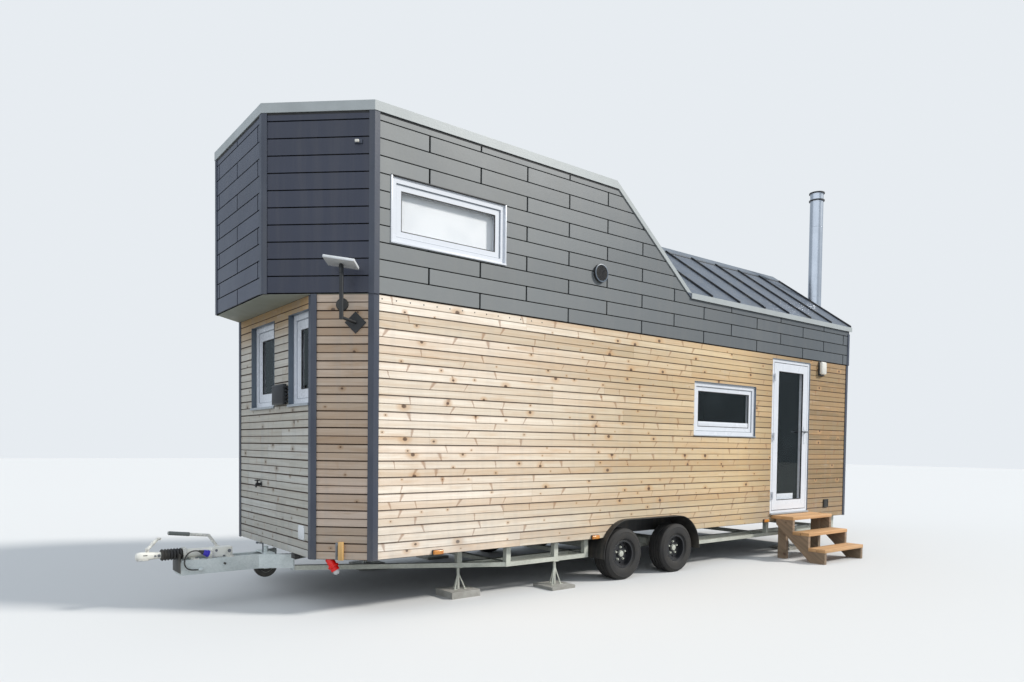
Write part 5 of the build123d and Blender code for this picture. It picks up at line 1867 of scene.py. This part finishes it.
    def lamp(self) -> None:
        """The bulkhead lamp: a dark base with a rounded white glass in front."""
        maker = Maker("bulkhead_lamp")
        maker.panels(
            NEAR,
            (6467, 6593, 0.5, 14.0, 2321, 2503, 6),
            (6470, 6590, 13.0, 62.0, 2331, 2500, 22, 1),
            (6463, 6597, 12.0, 20.0, 2318, 2336, 4),
        )
        maker.done("black_metal lamp_glass", "lamp", replaces="door_lamp")

    def power_inlet(self) -> None:
        """The red inlet under the slanted wall: body, ribbed collar and white end."""
        way = Vector(self.inlet_way).normalized()
        start = Vector(self.inlet_start) - Vector(self.inlet_way) * 8
        maker = Maker("power_inlet_body")
        red = [(0.5, 0), (30, 0), (33, 6), (33, 62), (40, 64), (40, 82), (34, 86), (34, 112), (0.5, 112)]
        white = [(0.5, 112), (27, 112), (27, 130), (20, 140), (12, 146), (0.5, 146)]
        maker.lathe(red, start, way, 40)
        maker.lathe(white, start, way, 36, 1)
        maker.ribs(start + way * 66, way * 14, way.orthogonal().normalized() * 40, 12, 2.4, 8)
        maker.done("red_plastic white_plastic", "power_inlet", replaces="power_inlet")

    def antenna(self) -> None:
        """The thin tilted antenna plate on its black bracket."""
        maker = Maker("antenna_plate")
        long, deep = (Vector(side) for side in self.antenna_sides)
        normal = long.cross(deep).normalized() * 22
        first = Vector(self.antenna_middle) - long / 2 - deep / 2 - normal / 2
        corners = [first, first + long, first + long + deep, first + deep]
        maker.prism([at(*corner) for corner in corners], normal / 1000)
        maker.round_edges(maker.bm.edges[:], 5, 3)
        maker.done("white_plastic", "antenna_plastic", replaces="antenna_panel")
        bracket = Maker("antenna_bracket")
        bracket.rods(
            ((-259, -1182, 2632), (-259, -1182, 2672), 15, None, 24),
            ((-259, -1182, 2670), (-261, -1185, 2699), 20, 12, 24),
        )
        bracket.done("black_metal", "black_metal")

    def roof_lines(self) -> None:
        """Strips of painted shadow under the roof's edge trims and beside the ridge cap, the corner strips, and the
        felt on the flat roof.
        """
        # Painted shadow: dark strips just under the edge trims of the flat roof.
        maker = Maker("trim_shadow")
        maker.panels(NEAR, (-2, 2644, 9.0, 10.8, 3876, 3892.6, 0.3))
        maker.panels(LOFT_SLANTED, (2, 891, -1.0, 0.8, 3876, 3892.6, 0.3))
        maker.panels(LOFT_FRONT, (2, 1214, -1.0, 0.8, 3876, 3892.6, 0.3))
        maker.done("gasket", "dark_trim")
        # Painted shadow: dark strips beside the ridge cap.
        ridge = Maker("ridge_shadow")
        for side in (-1, 1):
            spots = [(109, 3849), (127, 3836), (127, 3841), (109, 3854)]
            ridge.prism([at(2835, side * y, z) for y, z in spots], Vector((4.435, 0, 0)))
        ridge.done("gasket", "roof_sheet")
        strips = Maker("near_corner_strips")
        strips.panels(NEAR, (-3, 34, 9.0, 13.6, 2509, 3876, 0.6), (-1, 34, -1.0, 3.6, 441, 2506, 0.6))
        strips.done("siding", "dark_trim")
        felt = Maker("roof_felt")
        spots = [(-622, 588), (-622, -588), (8, -1178), (2620, -1178), (2620, 1178), (8, 1178)]
        felt.prism([at(x, y, 3966.5) for x, y in spots], Vector((0, 0, 0.0035)))
        for x in self.felt_laps:
            half = 1160 if x > 0 else 1020
            felt.box((x, -half, 3969), (x + 60, half, 3972), 1, 1)
        felt.done("roof_felt felt_lap", "light_trim")

    def soffit(self) -> None:
        """The pale sheet under the overhanging nose, and the dark fitting under the floor's front."""
        spots = [(-643, 602), (-643, -602), (-14, -1204), (-2, -1204), (-2, 1204), (-14, 1204)]
        maker = Maker("soffit_sheet")
        maker.prism([at(x, y, 2504.6) for x, y in spots], Vector((0, 0, 0.0019)))
        maker.done("soffit", "soffit")
        box = Maker("underfloor_box")
        box.box((-355, -520, 396), (-305, -440, 440), 4)
        box.done("black_plastic", "black_metal")

    def build(self) -> None:
        """Make all of it."""
        self.plates()
        self.garden_tap()
        self.vents()
        self.markers()
        self.lamp()
        self.power_inlet()
        self.soffit()
        self.antenna()
        self.roof_lines()


@dataclass
class DrawbarGear:
    """The coupling, the parked plug with its lead and the small parts of the drawbar."""

    tube_height: float = 440.0
    sections: tuple[tuple[float, float, float, float], ...] = (
        (-1442, 16, -6, 16), (-1437, 28, -3, 25), (-1424, 36, -1, 30), (-1402, 39, 0, 32.5), (-1374, 39, 0, 32.5),
        (-1345, 37, 1, 31), (-1318, 32, 1, 28), (-1290, 28, 0, 26), (-1262, 27, 0, 26), (-1246, 26.5, 0, 25.5),
    )
    skirt: tuple[tuple[float, float, float, float], ...] = (
        (-1432, 24, -27, 9), (-1412, 37, -26, 9), (-1366, 37, -26, 9), (-1346, 26, -26, 8),
    )
    plug_tilt: float = 21.0
    lead: tuple[Spot, ...] = (
        (-956.8, -80.0, 449.1), (-986.7, -80.0, 460.6), (-1022.0, -84.0, 467.0), (-1064.0, -94.0, 458.0),
        (-1096.0, -106.0, 428.0), (-1110.0, -116.0, 382.0), (-1096.0, -119.0, 336.0), (-1056.0, -113.0, 313.0),
        (-1000.0, -113.0, 313.0),
    )
    grip_tip: Spot = (-1188.0, 62.0, 606.0)
    lever_elbow: Spot = (-872.0, 62.0, 568.0)
    sleeve: float = 12.5

    def head(self) -> None:
        """The draw tube with its tapering coupling head and the handle's lug."""
        z = self.tube_height
        maker = Maker("coupling_head")
        maker.rod((-1262, 0, z), (-1097, 0, z), 25, steps=32)
        for form in (self.sections, self.skirt):
            maker.loft([(x, half, z + middle, reach) for x, half, middle, reach in form])
        maker.box((-1371, -13, z + 22), (-1343, 13, z + 64), 6)
        maker.rod((-1357, -21, 492), (-1357, 21, 492), 6)
        for side in (-1, 1):
            for x in (-1304, -1276):
                maker.bolt((x, side * 27, z), (0, side, 0), 8.5, 8, 1)
            maker.box((-1392, side * 38.6 - 0.8, z + 6), (-1362, side * 38.6 + 0.8, z + 13), 0.5, 2)
        maker.done("cream_paint handle_steel gasket", "housing_paint", replaces="draw_tube", angle=42.0)

    def plug(self) -> None:
        """The parked plug with its boot and its holder."""
        tilt = math.radians(self.plug_tilt)
        way = Vector((math.cos(tilt), 0, -math.sin(tilt)))
        start = Vector(self.lead[0])
        maker = Maker("plug_body")
        body = [(0.5, 0), (17, 0), (21, 8), (24, 20), (24, 30), (27.6, 32), (27.6, 76), (25, 78), (0.5, 78)]
        maker.lathe(body, start, way, 40)
        maker.ribs(start + way * 34, way * 22, Vector((0, 27, 0)), 16, 1.4, 6)
        maker.done("blue_plastic", "plug_plastic", replaces="trailer_plug")
        boot = Maker("plug_boot")
        boot.lathe([(5.4, -34), (8, -34), (10, -22), (15, -8), (19, 4), (17, 4), (5.4, 4)], start, way, 28)
        boot.done("soft_rubber", "rubber")
        holder = Maker("plug_holder")
        holder.lathe([(28.2, 50), (33, 50), (33, 74), (28.2, 74)], start, way, 40)
        holder.box((-905, -96, 396), (-885, -64, 404), 2)
        holder.box((-899, -84, 402), (-891, -76, 420), 1.5)
        holder.done("cream_paint", "housing_paint")

    def cable(self) -> None:
        """The plug's lead, down beside the drawbar."""
        curve = bpy.data.curves.new("trailer_lead", "CURVE")
        curve.dimensions = "3D"
        spline = curve.splines.new("NURBS")
        spline.points.add(len(self.lead) - 1)
        for point, spot in zip(spline.points, self.lead):
            point.co = (*at(*spot), 1.0)
        spline.order_u = 3
        spline.use_endpoint_u = True
        spline.resolution_u = 12
        curve.bevel_depth = 0.005
        curve.bevel_resolution = 5
        curve.use_fill_caps = True
        curve.materials.append(PALETTE["soft_rubber"])
        lead = placed("trailer_lead", curve)
        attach(lead, "house")
        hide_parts("trailer_cable")
        LOG.info("trailer_lead: %d points", len(self.lead))

    def handles(self) -> None:
        """The coupling's thick handle and the brake lever's ribbed grip."""
        maker = Maker("coupling_grip")
        for side in (-1, 1):
            maker.rods(
                ((-1357, side * 14, 492), (-1357, side * 20, 492), 12, None, 24),
                ((-1357, side * 16, 492), (-1312, side * 9, 538), 10, None, 18),
            )
        maker.rods(
            ((-1326, 0, 525), (-1279, 0, 573), 15, 12, 24),
            ((-1281, 0, 572), (-1262, 0, 575), 11, 10, 24),
            ((-1264, 0, 577), (-1258, 0, 562), 9, 8),
            ((-1320, -13, 532), (-1320, 13, 532), 8),
        )
        maker.done("cream_paint", "housing_paint", "coupling", "coupling_handle", 40.0)
        tip, elbow = Vector(self.grip_tip), Vector(self.lever_elbow)
        way = (elbow - tip).normalized()
        grip = Maker("brake_grip")
        ribs = [(16.5 - dip, 38.0 + rib * 12 + step) for rib in range(9) for dip, step in ((0, 0), (1.2, 3), (0, 6))]
        foot = [(0.5, -1.5), (12, -1.5), (16, 3), (16.5, 20), (15.5, 24), (16.5, 28)]
        grip.lathe([*foot, *ribs, (16.5, 160), (14, 168), (10.2, 170), (0.5, 170)], tip, way, 32)
        grip.done("grip_grey", "lever_grip", "handbrake")
        sleeve = Maker("brake_sleeve")
        sleeve.rod(tip + way * 168, elbow, self.sleeve, steps=24)
        sleeve.rod(elbow, (-812, 62, 480), self.sleeve, steps=24)
        angles = [math.radians(15 * number) for number in range(13)]
        ball = [(max(self.sleeve * math.sin(angle), 0.3), self.sleeve * math.cos(angle)) for angle in angles]
        sleeve.lathe(ball, elbow, (0, 1, 0), 24)
        sleeve.done("cream_paint", "housing_paint", "handbrake")

    def fittings(self) -> None:
        """Bolts, a black plate of painted shade over the drawbar's front end, the small roller and the jockey wheel's
        rings.
        """
        maker = Maker("drawbar_bolts")
        for x in (-1008, -790):
            for y in (-88, 88):
                maker.bolt((x, y, 405), (0, 0, 1), 9, 9)
        maker.bolt((-735, -48, 440), (0, -1, 0), 11, 10)
        maker.bolt((-840, -48, 450), (0, -1, 0), 8, 7)
        maker.rods(
            ((-455, -52, 404), (-455, -52, 486), 6, None, 16),
            ((-455, -52, 482), (-505, -64, 492), 5, None, 16),
            ((-505, -64, 492), (-516, -67, 494), 9),
        )
        maker.done("handle_steel", "drawbar_metal")
        # Painted shade: a black plate over the drawbar's front end, where its opening lies in shade.
        front_shade = Maker("drawbar_front_shade")
        front_shade.box((-1141, -117, 293), (-1135.3, 117, 449), 1.5)
        front_shade.done("black_plastic", "rubber")
        roller = Maker("brake_roller")
        outline = [(10, -22), (58, -22), (68, -16), (68, 16), (58, 22), (10, 22)]
        roller.lathe(outline, (-790, 0, 346), (0, 1, 0), 48)
        roller.rod((-790, -118, 346), (-790, 118, 346), 9)
        roller.done("black_plastic", "rubber")
        hub = Maker("jockey_wheel_hub")
        for side in (-1, 1):
            ring = [(56, side * 20), (60, side * 20), (60, side * 22), (56, side * 22)]
            hub.lathe(ring, (-415, 0, 280), (0, 1, 0), 48)
        hub.done("galvanised", "rubber", "jockey")

    def build(self) -> None:
        """Make all of it."""
        self.head()
        self.plug()
        self.cable()
        self.handles()
        self.fittings()


@dataclass
class EntrySteps:
    """The treads of the timber steps, two boards each."""

    along: Span = (5450.0, 6350.0)
    treads: tuple[tuple[float, float, float], ...] = (
        (-1512.0, -1210.3, 525.0), (-1718.0, -1506.0, 350.0), (-1924.0, -1712.0, 175.0),
    )
    thickness: float = 40.0
    gap: float = 5.0
    ease: float = 2.5

    def build(self) -> None:
        """Make the treads and their screws."""
        start, end = self.along
        maker, screws = Maker("step_boards", 5), Maker("step_screws")
        for front, rear, top in self.treads:
            middle = (front + rear) / 2
            for low, high in ((front, middle - self.gap / 2), (middle + self.gap / 2, rear)):
                maker.grain_layers()
                maker.grain(maker.box((start, low, top - self.thickness), (end, high, top), self.ease), Run.ALONG)
            for share in (0.2, 0.38, 0.62, 0.8):
                y = front + (rear - front) * share
                for x in (start + 22, end - 22):
                    screws.rod((x, y, top - 0.4), (x, y, top + 0.5), 4.5, steps=14)
        maker.done("step_timber", "step_timber", replaces="step_treads")
        screws.done("galvanised", "galvanised")


@dataclass
class FlueRings:
    """Seams and clamps round the flue."""

    place: Span = (7380.0, -617.0)
    radius: float = 90.0
    clamps: tuple[float, ...] = (4942.0, 5048.0)
    seams: tuple[float, ...] = (2560.0, 3560.0, 4560.0)

    def build(self) -> None:
        """Make the rings."""
        maker = Maker("flue_rings")
        inner, clamp, seam = self.radius - 0.5, self.radius + 16.3, self.radius + 2
        for heights, ring, material in (
            (self.clamps, [(inner, -7.4), (clamp, -7.4), (clamp, 6.6), (inner, 6.6)], 1),
            (self.seams, [(inner, -5), (seam, -3), (seam, 3), (inner, 5)], 0),
        ):
            for height in heights:
                maker.lathe(ring, (*self.place, height), (0, 0, 1), 64, material)
        maker.done("flue_steel black_metal", "flue_steel")


@dataclass
class Studio:
    """Pale floor, soft light and the camera."""

    position: Spot = (-5.6275, -5.9705, 1.348)
    yaw: float = 52.005
    pitch: float = -1.805
    roll: float = 0.643
    lens: float = 25.474
    shift: float = 0.1247

    def camera(self) -> None:
        """Place the camera where the photograph was taken from."""
        yaw, pitch, roll = (math.radians(angle) for angle in (self.yaw, self.pitch, self.roll))
        ahead = Vector((math.cos(yaw) * math.cos(pitch), math.sin(yaw) * math.cos(pitch), math.sin(pitch)))
        right = Vector((math.sin(yaw), -math.cos(yaw), 0.0))
        up = right.cross(ahead)
        turned_right = right * math.cos(roll) + up * math.sin(roll)
        turned_up = up * math.cos(roll) - right * math.sin(roll)
        data = bpy.data.cameras.new("camera")
        data.lens = self.lens
        data.sensor_width = 36.0
        data.shift_y = self.shift
        data.clip_end = 200.0
        camera = placed("camera", data)
        turn = Matrix((turned_right, turned_up, -ahead)).transposed()
        camera.matrix_world = Matrix.Translation(Vector(self.position)) @ turn.to_4x4()
        bpy.context.scene.camera = camera

    def seen(self, tree: Tree, *rays: str) -> Value:
        """Whether the camera sees the surface by one of these kinds of ray.

        Args:
            tree: the node tree.
            rays: the kinds of ray.

        Returns:
            1 where it does, 0 elsewhere.
        """
        paths = tree.add("LightPath")
        found = [Value(tree, paths.outputs[f"Is {ray} Ray"]) for ray in rays]
        seen = found[0]
        for other in found[1:]:
            seen = tree.math("MAXIMUM", seen, other)
        return seen

    def floor(self) -> None:
        """Lay the floor: pale to the eye, and less bright where it throws light back."""
        material = bpy.data.materials.new("studio_floor")
        material.use_nodes = True
        tree = Tree(material.node_tree)
        seen = self.seen(tree, "Camera", "Glossy", "Transmission")
        colour = tree.blend(seen, (0.26, 0.26, 0.25), (0.66, 0.66, 0.655))
        inputs = {"Base Color": colour, "Roughness": 0.9, "Specular IOR Level": 0.1}
        tree.add("OutputMaterial", {0: tree.get("BsdfPrincipled", 0, inputs)})
        shape = bmesh.new()
        bmesh.ops.create_grid(shape, x_segments=1, y_segments=1, size=60.0)
        mesh = bpy.data.meshes.new("floor_plane")
        shape.to_mesh(mesh)
        shape.free()
        mesh.materials.append(material)
        placed("floor_plane", mesh)

    def lights(self) -> None:
        """A warm key from the door's side and rear, a soft fill against it, and cool light all round."""
        for name, energy, angle, colour, way in (
            ("key", 3.35, 9, (1.0, 0.97, 0.92), (0.61, -0.56, 0.58)),
            ("fill", 1.4, 100, (0.93, 0.96, 1.0), (-0.85, -0.3, 0.42)),
        ):
            data = bpy.data.lights.new(name, "SUN")
            data.energy = energy
            data.angle = math.radians(angle)
            data.color = colour
            light = placed(name, data)
            light.rotation_mode = "QUATERNION"
            light.rotation_quaternion = Vector(way).to_track_quat("Z", "Y")
        world = bpy.data.worlds.new("studio_world")
        world.use_nodes = True
        bpy.context.scene.world = world
        tree = Tree(world.node_tree)
        light = tree.get("Background", 0, {"Color": (0.79, 0.89, 1.0), "Strength": 0.66})
        backdrop = tree.get("Background", 0, {"Color": (0.8, 0.84, 0.88), "Strength": 1.0})
        seen = self.seen(tree, "Camera", "Transmission")
        tree.add("OutputWorld", {0: tree.get("MixShader", 0, {0: seen, 1: light, 2: backdrop})})

    def build(self) -> None:
        """Set the whole stage."""
        self.camera()
        self.floor()
        self.lights()
        bpy.context.scene.view_settings.view_transform = "Standard"


def finishes() -> list[Finish]:
    """Every finish of the house.

    Returns:
        The finishes in the order in which they are made.
    """
    siding = {"roughness": 0.42, "dust_share": 0.0, "streak_share": 0.04, "scale": 0.8, "toned": 0.14}
    matt = {"roughness": 0.9, "streak_share": 0.0}
    clean = {"streak_share": 0.0, "dust_share": 0.0}
    return [
        CladdingTimber(
            "timber_near", ("EADFCE", "C6B597", "83704F"), groove_shade_share=0.45, joint_shade_share=0.74, joint="4A3220",
            high=3.4, middle=0.42, stops=((0.84, "CBB389"),),
        ),
        CladdingTimber("timber_rear", ("C9AE86",) * 3, Run.UP, greyness=0.2),
        CladdingTimber(
            "timber_front", ("BAB9B1", "C0BBB0", "AE8A58"), Run.UP, 0.6, 2.52, 0.93, greyness=0.25, warmth=0.1,
            figure="8A7B68", warm="8C7A64", knot="4A3C30", streak=0.3, knottiness=0.5, variety=0.13,
        ),
        CladdingTimber(
            "timber_slanted", ("BFAC99", "C5B19F", "C3AF9B"), Run.UP, 0.44, 1.4, greyness=0.18, warmth=0.42,
            figure="9A7C60", warm="9A7650", knot="4F3828", streak=0.12, knottiness=0.35,
        ),
        # The siding fades to a darker colour toward the rear: a painted sheen.
        Coating("siding", "7F8282", "757878", painted_sheen_far_colour="53585C", painted_sheen_run=(-4.6, 3.6), **siding),
        # The nose and the slanted loft walls take darker, bluer copies of the siding: painted shade.
        Coating("siding_nose", "444958", "3E4352", **siding),
        Coating("siding_slanted", "292F42", "252A3C", **siding),
        Coating("dark_trim", "3B414F", "343A48", roughness=0.4, streak_share=0.06),
        Coating("soffit", "A3A599", "939687", roughness=0.6, streak_share=0.1),
        Coating(
            "roof_sheet", "545C68", "4C5460", roughness=0.36, streak_share=0.14, dust_share=0.0,
            # Painted shade: lines at the roof's seams.
            seam=(4.2445, 0.515, 0.011),
        ),
        Coating("roof_felt", "7D8183", "6E7274", **matt),
        Coating("felt_lap", "686C6E", "5E6264", **matt),
        Coating("ridge_metal", "6E7680", "636B75", roughness=0.4, metallic=0.3),
        Coating("gasket", "17181A", "101113", roughness=0.6, streak_share=0.0),
        Coating("line_grey", "8E959D", "868D95", streak_share=0.0),
        Coating("reveal_sheet", "626D79", "5A6571", roughness=0.4, streak_share=0.06),
        Coating("sill_metal", "A7ADB3", "989EA4", roughness=0.4, metallic=0.2),
        Coating("light_trim", "ADB2B2", "A0A5A5", "A0A4A2", roughness=0.35),
        Coating("white_profile", "DBDEE4", "D4D7DD", "B8B5AA", 0.08, roughness=0.28, streak_share=0.02, skin=0.0001),
        Coating("lining", "17120E", "100D0A", specular=0.1, **matt),
        Coating("siding_lining", "0E0F11", "0A0B0C", roughness=0.9, specular=0.1),
        Coating("grip_grey", "6E7472", "646A68", roughness=0.55, streak_share=0.05),
        Coating("plate_dark", "181A1F", "131519", roughness=0.6, **clean),
        Coating("black_metal", "1B1D20", "141618", roughness=0.45, streak_share=0.0, dust_share=0.1),
        Coating("black_plastic", "1C1D20", "151618", dust_share=0.2, dust_high=0.7),
        Coating("cream_paint", "F6F4EC", "ECEADE", roughness=0.35, edge_share=0.5, dust_share=0.3),
        Coating("blue_plastic", "3F34C0", "362CAC", roughness=0.35, **clean),
        Coating("red_plastic", "EA1206", "D60D04", roughness=0.35, **clean),
        Coating("white_plastic", "DEE0E2", "D4D6D8", roughness=0.35),
        Coating("amber_plastic", "D9901E", "B8640C", roughness=0.2, coat=0.5, scale=14.0),
        Coating("lamp_glass", "E6E3DA", "D8D4C8", roughness=0.25, coat=0.4),
        ZincCoat("galvanised", "CFD1C6", "B3B6AB", roughness=0.45, metallic=0.35),
        ZincCoat("drawbar_zinc", "DDE3E2", "C4CCCB", rust_share=0.05, roughness=0.42, metallic=0.25),
        BrightMetal("rim_steel", "3C3D40", "2A2A2C", roughness=0.42, metallic=0.5),
        BrightMetal("flue_steel", "C3C9D1", "A9AFB8", roughness=0.3, metallic=0.9),
        BrightMetal("handle_steel", "74787D", "5C6065", roughness=0.35, metallic=0.5),
        TyreRubber("tyre_rubber", (0.011, 0.011, 0.012), (0.07, 0.062, 0.05), roughness=0.72),
        TyreRubber("soft_rubber", (0.015, 0.015, 0.016), roughness=0.6),
        WindowGlass("window_glass", roughness=0.02, metallic=1.0),
        CastConcrete("concrete", roughness=0.85),
        BlindCloth("blind_cloth", roughness=0.8),
        PlankTimber("step_timber", "C99F72", "A37548"),
        PlankTimber("pale_plank", "E2B777", "C4924F"),
        PlankTimber("stringer_timber", "98816A", "665645", slope=34.0),
    ]


@dataclass
class TinyHouse:
    """The whole object, built piece by piece."""

    axles: tuple[tuple[str, float], ...] = (("front", 2810.0), ("rear", 3630.0))
    plain: dict[str, str] = field(
        default_factory=lambda: {
            "lining": "floor",
            "dark_trim": "timber_corner_trims siding_corner_trims",
            "soffit": "loft_floor",
            "light_trim": "loft_roof eave_trims",
            "roof_sheet": "low_roof_near low_roof_far",
            "ridge_metal": "ridge_cap",
            "white_profile": "side_window loft_window front_window_frames door_frame door_leaf",
            "window_glass": "window_glass door_glass",
            "handle_steel": "door_lever",
            "galvanised": "axles chassis_frame jack_stands",
            "black_plastic": "mudguards jockey_wheel wall_vents",
            "drawbar_zinc": "drawbar",
            "cream_paint": "overrun_housing handbrake_lever",
            "soft_rubber": "bellows",
            "concrete": "concrete_blocks",
            "stringer_timber": "step_frame",
            "flue_steel": "flue",
            "black_metal": "antenna_mast",
        }
    )

    def build(self) -> None:
        """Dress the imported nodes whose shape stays, then build everything in order."""
        for finish, nodes in self.plain.items():
            for node in nodes.split():
                dress(node, finish)
        DrawbarGear().build()
        HouseWalls().build()
        for side_name, side in (("near", -1), ("far", 1)):
            for axle, place in self.axles:
                Wheel(f"{side_name}_{axle}", place, side).build()
        for part in (Glazing(), WallFittings(), EntrySteps(), FlueRings()):
            part.build()


def main() -> None:
    """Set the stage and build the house."""
    logging.basicConfig(level=logging.INFO, format="%(name)s %(message)s")
    Studio().build()
    effects = Effects()
    PALETTE.update((finish.name, finish.make(effects)) for finish in finishes())
    TinyHouse().build()


if __name__ == "__main__":
    main()
